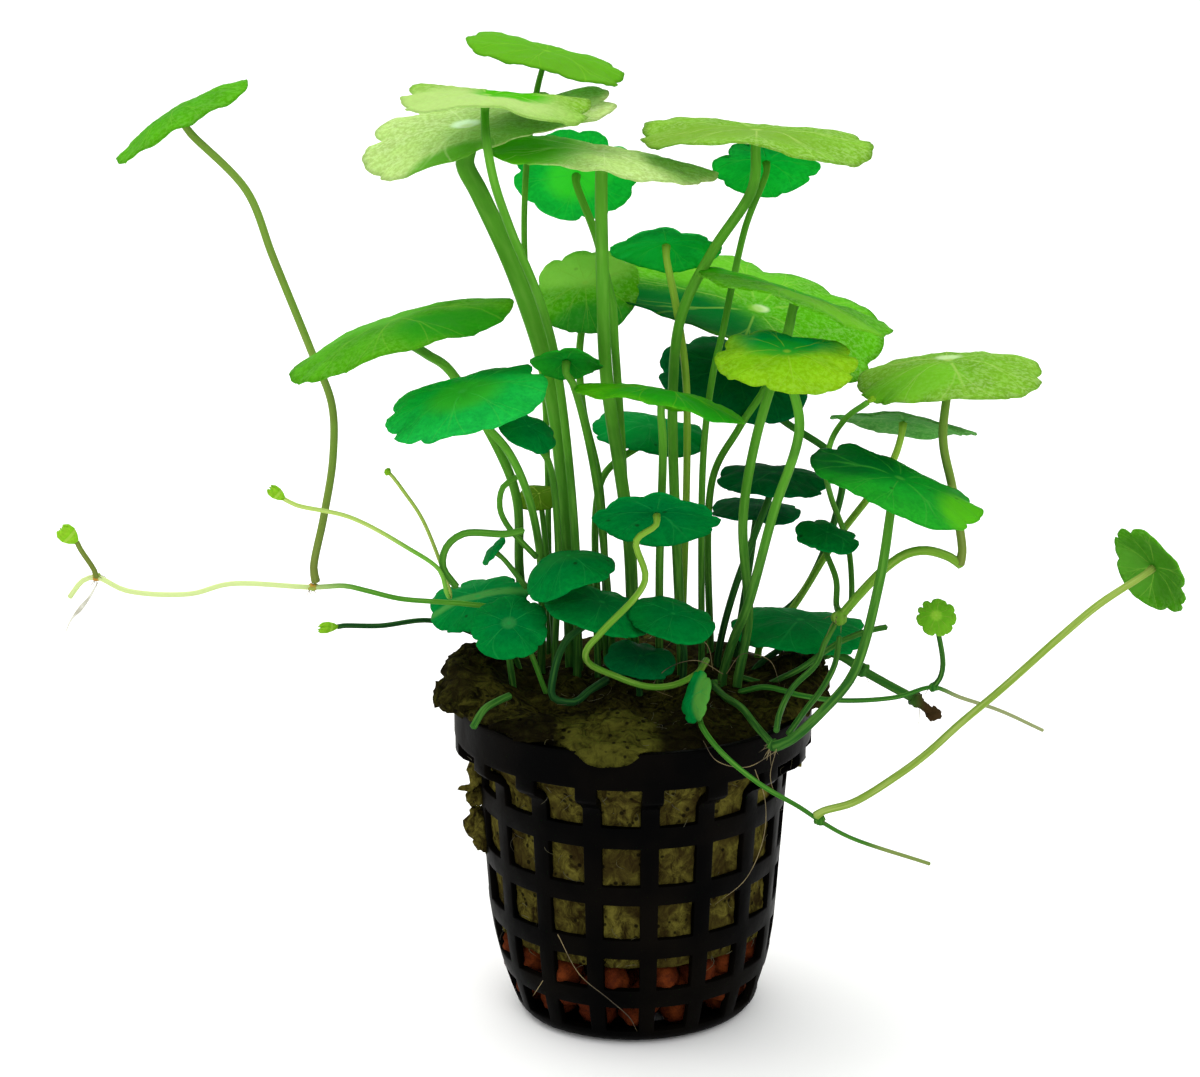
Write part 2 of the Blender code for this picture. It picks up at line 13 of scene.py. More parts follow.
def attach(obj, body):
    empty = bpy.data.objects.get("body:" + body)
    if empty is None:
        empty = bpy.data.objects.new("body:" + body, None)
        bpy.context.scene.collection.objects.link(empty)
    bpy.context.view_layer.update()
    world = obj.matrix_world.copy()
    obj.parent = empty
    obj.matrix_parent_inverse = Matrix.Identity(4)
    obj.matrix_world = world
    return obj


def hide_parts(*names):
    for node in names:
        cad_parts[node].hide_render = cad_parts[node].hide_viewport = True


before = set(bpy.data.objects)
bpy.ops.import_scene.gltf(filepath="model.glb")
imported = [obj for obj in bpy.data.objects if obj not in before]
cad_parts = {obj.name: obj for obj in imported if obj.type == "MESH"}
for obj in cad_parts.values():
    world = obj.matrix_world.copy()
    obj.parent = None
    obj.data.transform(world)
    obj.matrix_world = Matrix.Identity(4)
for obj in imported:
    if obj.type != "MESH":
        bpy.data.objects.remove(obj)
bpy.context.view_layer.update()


# The eye and the studio.
# The plant stands on a white table, half a metre from the eye and a little below it, under one
# wide soft light above and behind, with a weaker one in front.

MM = 0.001
EYE = np.array((0.0, -500.0, 224.1))
PITCH = math.radians(16.72)
YAW = math.radians(0.572)
REACH = 524.0
PICTURE_MIDDLE = (-4.95, 75.8)
RIGHT = np.array((math.cos(YAW), math.sin(YAW), 0.0))
FORWARD = np.array((-math.sin(YAW) * math.cos(PITCH), math.cos(YAW) * math.cos(PITCH), -math.sin(PITCH)))
UP = np.array((-math.sin(YAW) * math.sin(PITCH), math.cos(YAW) * math.sin(PITCH), math.cos(PITCH)))

scene = bpy.context.scene
scene.view_settings.view_transform = "Standard"
camera = bpy.data.objects.new("camera", bpy.data.cameras.new("camera"))
camera.data.lens = 104.8
camera.data.sensor_width = 36.0
camera.data.clip_start = 0.05
camera.location = EYE * MM
camera.rotation_euler = (math.pi / 2 - PITCH, 0.0, YAW)
scene.collection.objects.link(camera)
scene.camera = camera


def soft_light(name, place, aim, size, watts, color=(1.0, 1.0, 1.0)):
    lamp = bpy.data.lights.new(name, "AREA")
    lamp.shape = "DISK"
    lamp.size = size
    lamp.energy = watts
    lamp.color = color
    light = bpy.data.objects.new(name, lamp)
    light.location = place
    light.rotation_euler = (Vector(aim) - Vector(place)).to_track_quat("-Z", "Y").to_euler()
    scene.collection.objects.link(light)


soft_light("high_light", (-0.25, 0.3, 1.1), (0.0, 0.0, 0.1), 1.4, 10.0, (1.0, 0.99, 0.95))
soft_light("front_light", (0.5, -1.2, 0.9), (0.0, 0.0, 0.1), 0.9, 5.0)

world = bpy.data.worlds.new("white_room")
world.use_nodes = True
backdrop = world.node_tree.nodes["Background"]
backdrop.inputs["Color"].default_value = (1.0, 1.0, 1.0, 1.0)
backdrop.inputs["Strength"].default_value = 1.06
scene.world = world

table_top = bpy.data.meshes.new("table_top")
table_top.from_pydata([(-6, -6, 0), (6, -6, 0), (6, 6, 0), (-6, 6, 0)], [], [(0, 1, 2, 3)])
table = bpy.data.objects.new("table", table_top)
table_white = bpy.data.materials.new("table_white")
table_white.use_nodes = True
table_paint = table_white.node_tree.nodes["Principled BSDF"]
table_paint.inputs["Base Color"].default_value = (0.93, 0.93, 0.93, 1.0)
table_paint.inputs["Roughness"].default_value = 0.9
table_top.materials.append(table_white)
scene.collection.objects.link(table)


# Net pot.
# An injection-moulded pot of thin black polypropylene: a lattice wall with five rows of seventeen
# square holes, a plain collar that steps out at the top, and a slotted floor. It is wet.

RIM_HEIGHT = 49.5
RIM_RADIUS = 27.1
WALL = 1.2
EDGE_ROUND = 0.16
WALL_RADIUS_LOW = 20.9
WALL_FLARE = 0.07
FOOT_RADIUS = 17.2
FOOT_TUCK = 2.2
FOOT_TUCK_HEIGHT = 15.0
DENT_DEPTH = 1.3
DENT_HEIGHT = 17.0
DENT_SPREAD = 55.0
DENT_FULL_RADIUS = 16.0
LEFT_SIDE = 270.0
HOLE_COLUMNS = 17
COLUMN_ANGLE = 360.0 / HOLE_COLUMNS
HOLE_ANGLE = 14.4
FIRST_COLUMN = -4.2
HOLE_ROWS = [(2.4, 6.8), (9.8, 15.2), (18.3, 24.0), (27.0, 33.2), (36.6, 43.8)]
FLARE_START = 39.4
FLARE_END = 42.0
FLOOR_RINGS = [(3.0, 0.0), (8.0, 0.0), (13.0, 0.0), (16.2, 0.0), (FOOT_RADIUS, 0.1)]
FOOT_EDGE_RADIUS = 18.6
SLOT_RING = 1
SLOT_EVERY = 4
COLUMN_STEPS = 5
POT_LEVELS = [0.8, 1.6, 2.4, 3.8, 5.3, 6.8, 8.3, 9.8, 11.6, 13.4, 15.2, 16.8, 18.3, 20.2, 22.1, 24.0,
              25.5, 27.0, 29.0, 31.1, 33.2, 34.9, 36.6, 38.0, 39.4, 40.4, 41.2, 42.0, 43.0, 43.8,
              44.5, 48.9, RIM_HEIGHT]


def tone(red, green, blue):
    """A finish's colour from the numbers that a painter's colour card gives, 0 to 255."""
    card = np.array((red, green, blue)) / 255.0
    light = np.where(card <= 0.04045, card / 12.92, ((card + 0.055) / 1.055) ** 2.4)
    return (*light.tolist(), 1.0)


def ease(value, low, high):
    """0 below low, 1 above high, smooth between."""
    share = np.clip((value - low) / (high - low), 0.0, 1.0)
    return share * share * (3.0 - 2.0 * share)


def bump(angle, centre, width):
    """1 at an azimuth in degrees, falling smoothly to 0 at width on either side."""
    away = abs((angle - centre + 180.0) % 360.0 - 180.0)
    return 0.5 + 0.5 * math.cos(math.pi * away / width) if away < width else 0.0


def wall_radius(z):
    flare = float(ease(z, FLARE_START, FLARE_END))
    tuck = FOOT_TUCK * max(0.0, 1.0 - z / FOOT_TUCK_HEIGHT) ** 2
    straight = WALL_RADIUS_LOW + WALL_FLARE * z - tuck
    return straight + (RIM_RADIUS - straight) * flare


class Finish:
    """A material with its shader, and short ways to add the nodes that colour it."""

    def __init__(self, name, roughness, sheen=None):
        self.material = bpy.data.materials.new(name)
        self.material.use_nodes = True
        self.nodes = self.material.node_tree.nodes
        self.links = self.material.node_tree.links
        self.shader = self.nodes["Principled BSDF"]
        self.shader.inputs["Roughness"].default_value = roughness
        if sheen is not None:
            self.shader.inputs["Specular IOR Level"].default_value = sheen
        self.place = self.nodes.new("ShaderNodeTexCoord")

    def put(self, socket, value):
        if isinstance(value, bpy.types.NodeSocket):
            self.links.new(value, socket)
        else:
            socket.default_value = value

    def node(self, kind, output=0, settings=(), **inputs):
        made = self.nodes.new(kind)
        for key, value in settings:
            setattr(made, key, value)
        for key, value in inputs.items():
            key = int(key[1:]) if key[0] == "_" else key.replace("_", " ")
            self.put(made.inputs[key], value)
        return made.outputs[output]

    def math(self, operation, first, second=0.0):
        return self.node("ShaderNodeMath", settings=[("operation", operation)], _0=first, _1=second)

    def vector(self, operation, first, second):
        return self.node("ShaderNodeVectorMath", settings=[("operation", operation)], _0=first, _1=second)

    def ramp(self, value, low, high, start=0.0, end=1.0):
        """A value carried smoothly from low..high to start..end."""
        return self.node("ShaderNodeMapRange", settings=[("interpolation_type", "SMOOTHSTEP")],
                         Value=value, From_Min=low, From_Max=high, To_Min=start, To_Max=end)

    def blend(self, share, first, second):
        made = self.nodes.new("ShaderNodeMix")
        made.data_type = "RGBA"
        self.put(made.inputs[0], share)
        self.put(made.inputs[6], first)
        self.put(made.inputs[7], second)
        return made.outputs[2]

    def clouds(self, scale, detail=4.0, roughness=0.55, stretch=None, distortion=0.0):
        vector = self.place.outputs["Object"]
        if stretch:
            vector = self.vector("MULTIPLY", vector, stretch)
        return self.node("ShaderNodeTexNoise", Vector=vector, Scale=scale, Detail=detail,
                         Roughness=roughness, Distortion=distortion)

    def specks(self, scale):
        return self.node("ShaderNodeTexVoronoi", Vector=self.place.outputs["Object"], Scale=scale)

    def axes(self, place):
        """The separate X, Y and Z of a place in the object or on its grain."""
        return self.node("ShaderNodeSeparateXYZ", _0=self.place.outputs[place]).node.outputs

    def relief(self, height, distance, strength=1.0):
        made = self.nodes.new("ShaderNodeBump")
        made.inputs["Strength"].default_value = strength
        made.inputs["Distance"].default_value = distance
        self.links.new(height, made.inputs["Height"])
        self.links.new(made.outputs[0], self.shader.inputs["Normal"])
        return made.outputs[0]


def piece(name, bits, finishes):
    """One object from bits, each a tuple of points, faces with their grain and a finish number."""
    points, faces, grains, slots, start = [], [], [], [], 0
    for corners_at, shapes, finish in bits:
        points.append(corners_at)
        for corners, grain in shapes:
            faces += (corners + start).tolist()
            grains.append(grain.reshape(-1, 2))
            slots += [finish] * len(corners)
        start += len(corners_at)
    mesh = bpy.data.meshes.new(name)
    mesh.from_pydata((np.concatenate(points) * MM).tolist(), [], faces)
    layer = mesh.uv_layers.new(name="grain")
    layer.uv.foreach_set("vector", np.concatenate(grains).astype(np.float32).ravel())
    mesh.polygons.foreach_set("material_index", slots)
    for finish in finishes:
        mesh.materials.append(finish)
    mesh.shade_smooth()
    made = bpy.data.objects.new(name, mesh)
    scene.collection.objects.link(made)
    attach(made, "root")
    return made


def quads(rows, columns, u, v, first=0):
    """Faces of a closed band of rows of columns points, with u along a row and v across the rows."""
    i = np.arange(rows - 1)[:, None]
    j = np.arange(columns)[None, :]
    k = (j + 1) % columns
    corners = np.stack([i * columns + j, i * columns + k, (i + 1) * columns + k, (i + 1) * columns + j], -1)
    j = j + 0 * i
    i = i + 0 * j
    grain = np.stack([np.stack([u[j], v[i]], -1), np.stack([u[j + 1], v[i]], -1),
                      np.stack([u[j + 1], v[i + 1]], -1), np.stack([u[j], v[i + 1]], -1)], -2)
    return (corners + first).reshape(-1, 4), grain.reshape(-1, 4, 2)


def pot_lattice():
    """Half of the wall's mesh: the outer sheet, thickened and bevelled by modifiers."""
    angles, open_step = [], []
    for column in range(HOLE_COLUMNS):
        start = FIRST_COLUMN + column * COLUMN_ANGLE - HOLE_ANGLE / 2
        for share in (0.0, 0.34, 0.66):
            angles.append(start + HOLE_ANGLE * share)
            open_step.append(True)
        for share in (0.0, 0.5):
            angles.append(start + HOLE_ANGLE + (COLUMN_ANGLE - HOLE_ANGLE) * share)
            open_step.append(False)
    rings = FLOOR_RINGS + [(FOOT_EDGE_RADIUS if z < 1 else wall_radius(z), z) for z in POT_LEVELS]
    points, faces = [], []
    for radius, z in rings:
        for angle in angles:
            left = bump(angle, LEFT_SIDE, DENT_SPREAD) * max(0.0, 1.0 - z / DENT_HEIGHT)
            reach = radius - DENT_DEPTH * left * min(1.0, radius / DENT_FULL_RADIUS)
            turn = math.radians(angle)
            points.append((reach * math.sin(turn), -reach * math.cos(turn), z))
    count = len(angles)
    for low in range(len(rings) - 1):
        middle = (rings[low][1] + rings[low + 1][1]) / 2
        in_wall = low >= len(FLOOR_RINGS) and any(bottom < middle < top for bottom, top in HOLE_ROWS)
        for i in range(count):
            j = (i + 1) % count
            slot = low == SLOT_RING and (i // COLUMN_STEPS) % SLOT_EVERY == 1
            if (in_wall and open_step[i]) or slot:
                continue
            faces.append((low * count + i, low * count + j, (low + 1) * count + j, (low + 1) * count + i))
    faces.append(tuple(reversed(range(count))))
    return points, faces


def pot_plastic():
    finish = Finish("black_polypropylene", 0.45, 0.014)
    dust = finish.clouds(900.0, 6.0, 0.7)
    film = finish.clouds(70.0, 3.0)
    black = finish.blend(finish.ramp(film, 0.35, 0.7), tone(1, 1, 1), tone(8, 6, 4))
    finish.put(finish.shader.inputs["Base Color"],
               finish.blend(finish.ramp(dust, 0.7, 0.82, 0.0, 0.15), black, tone(44, 38, 26)))
    finish.put(finish.shader.inputs["Roughness"], finish.ramp(film, 0.3, 0.75, 0.34, 0.58))
    finish.relief(finish.clouds(260.0, 5.0), 0.0004, 0.3)
    return finish.material


points, faces = pot_lattice()
pot_mesh = bpy.data.meshes.new("pot")
pot_mesh.from_pydata([[value * MM for value in point] for point in points], [], faces)
pot = bpy.data.objects.new("pot", pot_mesh)
scene.collection.objects.link(pot)
shell = pot.modifiers.new("wall", "SOLIDIFY")
shell.thickness = WALL * MM
shell.offset = -1.0
edges = pot.modifiers.new("moulded_edges", "BEVEL")
edges.width = EDGE_ROUND * MM
edges.segments = 2
edges.limit_method = "ANGLE"
edges.angle_limit = math.radians(50.0)
pot_mesh.materials.append(pot_plastic())
pot_mesh.shade_smooth()
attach(pot, "root")
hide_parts("net_pot")


# Rockwool.
# A plug of spun mineral wool that fills the pot above the clay. It stands proud of the rim, rolls
# over it at the left and right, and bulges out through the holes; it is wet, dark and full of specks.

WOOL_BOTTOM = 13.3
WOOL_TOP = 50.9
WOOL_COLUMNS = 220
WOOL_ROWS = 96
WOOL_RIM_ROW = 60


def wool_height(x, y):
    """Height of the plug's top as the solid has it."""
    return WOOL_TOP + 0.4 * math.sin(0.2 * x + 0.8) * math.cos(0.17 * y)


def lumps(x, y, z, size):
    """Noise of about -1 to 1 with lumps of a size."""
    return noise.fractal(Vector((x / size, y / size, z / size)), 0.7, 2.1, 4)


def drawn(points, count):
    """A profile's points spread to count rows by length along a smooth curve."""
    points = np.array(points, float)
    along = np.concatenate([[0.0], np.cumsum(np.linalg.norm(np.diff(points, axis=0), axis=1))])
    at = np.linspace(0.0, along[-1], count)
    return np.stack([np.interp(at, along, points[:, 0]), np.interp(at, along, points[:, 1])], 1)


def closed(rings, ends, along, finish=0):
    """The bit between rings of points, shut by a fan to a point at either end."""
    rows, columns = rings.shape[:2]
    band = quads(rows, columns, np.arange(columns + 1) / columns, along)
    ring = np.arange(columns)
    after = (ring + 1) % columns
    first, last = rows * columns, (rows - 1) * columns
    fans = np.concatenate([np.stack([after, ring, np.full_like(ring, first)], 1),
                           np.stack([last + ring, last + after, np.full_like(ring, first + 1)], 1)])
    grain = np.zeros((len(fans), 3, 2))
    grain[columns:, :, 1] = along[-1]
    return np.concatenate([rings.reshape(-1, 3), ends]), [band, (fans, grain)], finish


def wool_bit():
    inner = RIM_RADIUS - WALL - 0.2
    grid = np.zeros((WOOL_ROWS, WOOL_COLUMNS, 3))
    for i in range(WOOL_COLUMNS):
        angle = 360.0 * i / WOOL_COLUMNS
        reach = max(bump(angle, 180.0, 44.0), bump(angle, 2.0, 36.0))
        lip = min(1.0, 1.6 * reach)
        hang = float(ease(reach, 0.3, 1.0))
        tongue = bump(angle, 262.0, 20.0)
        hump = bump(angle, 178.0, 40.0)
        low = 2.6 * bump(angle, 306.0, 38.0) * (1.0 - lip)
        profile = [(wall_radius(WOOL_BOTTOM) - WALL, WOOL_BOTTOM)]
        profile += [(wall_radius(z) - 0.8 * WALL, z) for z in (16.0, 21.0, 27.0, 33.0, 37.0, 39.5)]
        profile += [
            (inner - 0.9, 43.0),
            (inner - 0.2, 47.0 - low),
            (inner + 2.6 * lip + 1.6 * tongue, 49.9 - low),
            (inner + 0.4 + 2.7 * lip + 2.6 * tongue, 50.1 - 1.9 * hang - 2.3 * tongue - low),
            (inner + 3.9 * lip + 2.4 * tongue, 50.3 + 0.8 * lip - 0.6 * tongue - low),
            (inner - 1.6 + 3.0 * lip + 0.8 * tongue,
             50.9 + 2.6 * lip + 1.3 * hump + 0.3 * tongue - 0.8 * low),
            (inner - 4.4 + 0.6 * lip, 51.2 + 1.6 * lip + 2.0 * hump - 0.5 * low),
            (17.0, 51.0), (10.0, 51.0), (4.0, 51.0), (0.6, 51.0)]
        turn = math.radians(angle)
        for row, (radius, z) in enumerate(drawn(profile, WOOL_ROWS)):
            x, y = radius * math.cos(turn), radius * math.sin(turn)
            top = float(ease(z, 44.0, 49.0))
            swell = (0.3 + 0.8 * top) * lumps(x, y, z, 5.5) + (0.16 + 0.16 * top) * lumps(x, y, z, 1.6)
            swell += 0.7 * top * lumps(x, y, z, 11.0)
            outward = 1.0 - float(ease(float(21.0 - radius), 0.0, 5.0))
            radius += swell * outward
            z += swell * top * (1.0 - 0.5 * outward) * (1.0 if row > WOOL_RIM_ROW else 0.3)
            grid[row, i] = (radius * math.cos(turn), radius * math.sin(turn), z)
    return closed(grid, np.stack([grid[0].mean(0), grid[-1].mean(0)]), np.linspace(0.0, 1.0, WOOL_ROWS))


def ball(centre, size, rough, seed, finish=0):
    """A closed lump: a sphere of rows and columns pushed about by noise."""
    rows, columns = 11, 18
    polar = np.pi * (np.arange(rows) + 0.5)[:, None] / rows
    turn = 2 * np.pi * np.arange(columns)[None, :] / columns
    ways = np.stack([np.sin(polar) * np.cos(turn), np.sin(polar) * np.sin(turn),
                     -np.cos(polar) + 0 * turn], -1)
    swell = [[1.0 + rough * noise.fractal(Vector(way * 1.7) + Vector((seed, 0.0, 0.0)), 0.8, 2.0, 3)
              for way in ring] for ring in ways]
    rings = np.array(centre) + np.array(size) * ways * np.array(swell)[..., None]
    ends = np.stack([rings[0].mean(0), rings[-1].mean(0)])
    ends[:, 2] += (-0.05 * size[2], 0.05 * size[2])
    return closed(rings, ends, np.linspace(0.0, 1.0, rows), finish)


def curved(points, radii, step):
    """Points and radii about a step apart along a smooth curve through the given points."""
    points = np.array(points, float)
    ends = np.vstack([2 * points[0] - points[1], points, 2 * points[-1] - points[-2]])
    gaps = np.maximum(np.linalg.norm(np.diff(ends, axis=0), axis=1), 1e-6) ** 0.5
    knot = np.concatenate([[0.0], np.cumsum(gaps)])
    path, width = [], []
    for i in range(1, len(ends) - 2):
        a, b, c, d = ends[i - 1:i + 3]
        ta, tb, tc, td = knot[i - 1:i + 3]
        count = max(2, int(np.linalg.norm(c - b) / step))
        last = i == len(ends) - 3
        for t in np.linspace(tb, tc, count + last, endpoint=bool(last)):
            ab = a + (b - a) * (t - ta) / (tb - ta)
            bc = b + (c - b) * (t - tb) / (tc - tb)
            cd = c + (d - c) * (t - tc) / (td - tc)
            abc = ab + (bc - ab) * (t - ta) / (tc - ta)
            bcd = bc + (cd - bc) * (t - tb) / (td - tb)
            path.append(abc + (bcd - abc) * (t - tb) / (tc - tb))
            width.append(radii[i - 1] + (radii[i] - radii[i - 1]) * ease(t, tb, tc))
    return np.array(path), np.array(width)


def stem(points, radii, sides=9, step=0.9, finish=0):
    """A round stem along a smooth curve, its ends rounded off and closed."""
    path, width = curved(points, radii, step)
    along = np.concatenate([[0.0], np.cumsum(np.linalg.norm(np.diff(path, axis=0), axis=1))])
    ways = np.gradient(path, axis=0)
    ways /= np.maximum(np.linalg.norm(ways, axis=1), 1e-9)[:, None]
    side = np.cross(ways[0], (0.31, 0.9, 0.3))
    side /= np.linalg.norm(side)
    turns = 2 * np.pi * np.arange(sides) / sides
    rings = []
    for spot, way, radius in zip(path, ways, width):
        side = side - way * side.dot(way)
        side /= np.linalg.norm(side)
        other = np.cross(way, side)
        rings.append(spot + radius * (np.outer(np.cos(turns), side) + np.outer(np.sin(turns), other)))
    caps = np.stack([path[0] - ways[0] * width[0] * 0.6, path[-1] + ways[-1] * width[-1] * 0.6])
    return closed(np.array(rings), caps, along, finish)


def around(radius, angle):
    turn = math.radians(angle)
    return radius * math.cos(turn), radius * math.sin(turn)


def wool_strands(count, seed):
    """Loose fibres that lie on the plug and stand out of it."""
    draw = random.Random(seed)
    strands = []
    for _ in range(count):
        angle = draw.uniform(0.0, 360.0)
        where = draw.random()
        if where < 0.45:
            radius = 27.0 * math.sqrt(draw.random())
            x, y = around(radius, angle)
            z = 51.2 + draw.uniform(-0.4, 0.9) - 1.2 * float(ease(radius, 23.0, 27.0))
            flat = Vector((draw.uniform(-1, 1), draw.uniform(-1, 1), draw.uniform(-0.15, 0.35)))
        else:
            low, high = draw.choice(HOLE_ROWS[1:])
            z = draw.uniform(max(low, WOOL_BOTTOM), high)
            column = FIRST_COLUMN - 90.0 + draw.randrange(HOLE_COLUMNS) * COLUMN_ANGLE
            angle = column + draw.uniform(-0.45, 0.45) * HOLE_ANGLE
            radius = wall_radius(z) - 0.75
            x, y = around(radius, angle)
            tangent = Vector((-y, x, 0.0)).normalized()
            flat = tangent * draw.uniform(-1, 1) + Vector((0, 0, 1)) * draw.uniform(-1, 1)
        length = draw.uniform(0.8, 2.6)
        curl = Vector((draw.uniform(-1, 1), draw.uniform(-1, 1), draw.uniform(-0.4, 0.4))) * 0.35
        start = Vector((x, y, z))
        way = flat.normalized() * length
        line = [start + way * t + curl * length * math.sin(3.0 * t) for t in (0.0, 0.33, 0.66, 1.0)]
        thick = draw.uniform(0.03, 0.05)
        strands.append(stem(line, [thick, thick, thick, 0.4 * thick], sides=3, step=0.8))
    return strands


def wool_finish():
    """Wet wool: dark outside with a paler tongue over the rim, ochre inside the pot, and painted shade that
    darkens the front of the plug below the rim.
    """
    finish = Finish("wet_rockwool", 0.8, 0.004)
    at = finish.axes("Object")
    outdoors = finish.ramp(at["Z"], 0.043, 0.0475)
    fibre = finish.clouds(520.0, 7.0, 0.7, (1.0, 1.0, 0.7), 0.9)
    patch = finish.clouds(130.0, 5.0, 0.6, None, 0.8)
    inside = finish.blend(finish.ramp(fibre, 0.34, 0.7), tone(30, 23, 8), tone(96, 90, 36))
    inside = finish.blend(finish.ramp(patch, 0.42, 0.62, 0.0, 0.7), inside, tone(40, 31, 13))
    outside = finish.blend(finish.ramp(fibre, 0.36, 0.7), tone(13, 11, 4), tone(66, 64, 22))
    outside = finish.blend(finish.ramp(patch, 0.44, 0.64, 0.0, 0.75), outside, tone(24, 20, 8))
    off_tongue = finish.math("ABSOLUTE", finish.math("ADD", at["X"], 0.0035))
    tongue = finish.ramp(off_tongue, 0.0055, 0.0085, 1.0, 0.0)
    front = finish.ramp(at["Y"], -0.022, -0.012, 1.0, 0.0)
    # Painted shade: the front of the plug below the rim, away from the tongue, is darkened towards near
    # black.
    front_shade = finish.math("MULTIPLY", front, finish.math("SUBTRACT", 0.85, tongue))
    outside = finish.blend(front_shade, outside, tone(14, 11, 5))
    pale = finish.math("MULTIPLY", front, tongue)
    pale = finish.math("MULTIPLY", pale, finish.ramp(fibre, 0.3, 0.6, 0.1, 0.6))
    outside = finish.blend(pale, outside, tone(82, 82, 28))
    body = finish.blend(outdoors, inside, outside)
    pits = finish.ramp(finish.specks(620.0), 0.16, 0.24, 0.85, 0.0)
    finish.put(finish.shader.inputs["Base Color"], finish.blend(pits, body, tone(10, 8, 5)))
    finish.relief(fibre, 0.0008, 0.8)
    return finish.material


def mottled_finish(name, roughness, cloud, spread, low, high, sheen=None):
    """A plain skin that goes from one tone to another in small clouds."""
    finish = Finish(name, roughness, sheen)
    finish.put(finish.shader.inputs["Base Color"],
               finish.blend(finish.ramp(finish.clouds(*cloud), *spread), low, high))
    return finish.material


wool_look = wool_finish()
strand_look = mottled_finish("rockwool_fibre", 0.6, (300.0, 3.0), (0.35, 0.65),
                             tone(34, 31, 14), tone(74, 70, 36))
wool = piece("rockwool_plug", [wool_bit()], [wool_look])
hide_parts("rockwool")

WOOL_BULGES = [
    ((-23.4, -4.0, 39.4), (1.9, 2.2, 3.4), 0.5, 3.0), ((-23.6, -3.0, 34.2), (1.6, 1.8, 1.6), 0.5, 5.0),
    ((-24.6, -3.6, 35.4), (2.0, 0.7, 0.5), 0.3, 6.0), ((-23.2, -2.6, 29.4), (2.3, 2.2, 2.4), 0.5, 8.0),
    ((-22.5, -3.4, 26.9), (1.5, 1.8, 2.2), 0.5, 11.0), ((24.6, 0.5, 39.2), (1.3, 1.5, 1.5), 0.5, 12.0),
    ((-28.3, -4.0, 50.6), (1.7, 3.4, 1.7), 0.5, 14.0), ((-26.2, 1.0, 53.6), (2.0, 3.0, 1.6), 0.5, 17.0),
    ((28.2, 1.0, 52.0), (1.3, 3.0, 1.6), 0.5, 19.0), ((27.6, 4.5, 53.6), (1.5, 2.2, 1.3), 0.5, 21.0),
    ((-3.2, -26.8, 50.0), (4.6, 1.2, 1.2), 0.4, 23.0), ((-23.0, 3.0, 54.4), (3.4, 5.0, 1.8), 0.5, 26.0),
    ((-24.5, -9.0, 51.6), (3.0, 3.4, 1.6), 0.5, 29.0), ((-14.0, -20.5, 51.0), (5.5, 3.2, 1.4), 0.5, 31.0),
    ((24.0, 4.0, 52.6), (3.2, 4.4, 1.6), 0.5, 34.0), ((-2.0, -19.0, 51.4), (5.0, 3.6, 1.5), 0.5, 37.0)]
bulges = piece("rockwool_bulges", [ball(*lump) for lump in WOOL_BULGES], [wool_look])
strands = piece("rockwool_fibres", wool_strands(300, 5), [strand_look])


# Clay granules.
# Fired clay beads of about 5 to 6 mm fill the foot of the pot as ballast; they show brick red
# through its two lowest rows of holes.

# Rings of beads: height, radius and count.
CLAY_RINGS = [(4.4, 15.6, 15), (4.4, 9.5, 9), (4.4, 3.0, 3), (7.4, 17.3, 17), (7.4, 11.0, 10),
              (7.4, 4.5, 4), (10.8, 17.9, 17), (10.8, 12.0, 11), (10.8, 5.5, 5)]


def granules():
    draw = random.Random(11)
    beads = []
    for z, radius, count in CLAY_RINGS:
        for i in range(count):
            angle = 2 * math.pi * (i + draw.uniform(-0.2, 0.2)) / count + z
            spot = (radius * math.cos(angle), radius * math.sin(angle), z + draw.uniform(-0.5, 0.5))
            size = [draw.uniform(2.4, 3.1) for _ in range(3)]
            beads.append(ball(spot, size, 0.2, draw.uniform(0.0, 90.0)))
    return beads


def clay_finish():
    finish = Finish("fired_clay", 0.75, 0.02)
    grain = finish.clouds(900.0, 5.0, 0.65)
    patch = finish.clouds(110.0, 3.0)
    red = finish.blend(finish.ramp(patch, 0.4, 0.62), tone(68, 25, 8), tone(92, 41, 15))
    finish.put(finish.shader.inputs["Base Color"],
               finish.blend(finish.ramp(grain, 0.4, 0.62, 0.0, 0.6), red, tone(48, 17, 9)))
    finish.relief(grain, 0.0005, 0.8)
    return finish.material


clay = piece("clay_granules", granules(), [clay_finish()])
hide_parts("clay_bed")


# Leaves.
# Each leaf is one growth: a round, thin, shallowly lobed blade carried at its middle on a fleshy
# stalk that rises out of the wool or from a node of a creeping stem. Pale veins run out from the
# stalk's joint and fork near the rim.

HUB_SHARE = 0.2
HUB_DIMPLE = 0.03
BLADE_RINGS = 13
STEPS_PER_LOBE = 14
SCALLOP = 0.016
RIPPLE = 0.28
RIPPLE_SIZE = 3.4
BLADE_THICKNESS = 0.4
RIM_THINNING = 0.2
HUB_THICKNESS = 0.42
CREASE = 0.016
SWELL = 0.006
JOIN_DEPTH = 0.35
NECK = 1.6
FOOT_RISE = 0.8
FOOT_SINK = 2.5


def seen(across, up, depth):
    """The point that is seen at (across, up) and lies depth behind the pot's axis."""
    ray = FORWARD * REACH + RIGHT * (across - PICTURE_MIDDLE[0]) + UP * (up - PICTURE_MIDDLE[1])
    return EYE + ray * ((depth - EYE[1]) / ray[1])


def route(points, start, end):
    """Picture points as a path in space; a depth that is left out lies between its neighbours'."""
    length = [0.0]
    for a, b in zip(points, points[1:]):
        length.append(length[-1] + math.hypot(b[0] - a[0], b[1] - a[1]))
    known = [(-5.0, start)] + [(far, point[2]) for far, point in zip(length, points) if len(point) == 3]
    known.append((length[-1] + 5.0, end))
    at = [mark[0] for mark in known]
    depth = [mark[1] for mark in known]
    return [seen(point[0], point[1], float(np.interp(far, at, depth))) for point, far in zip(points, length)]


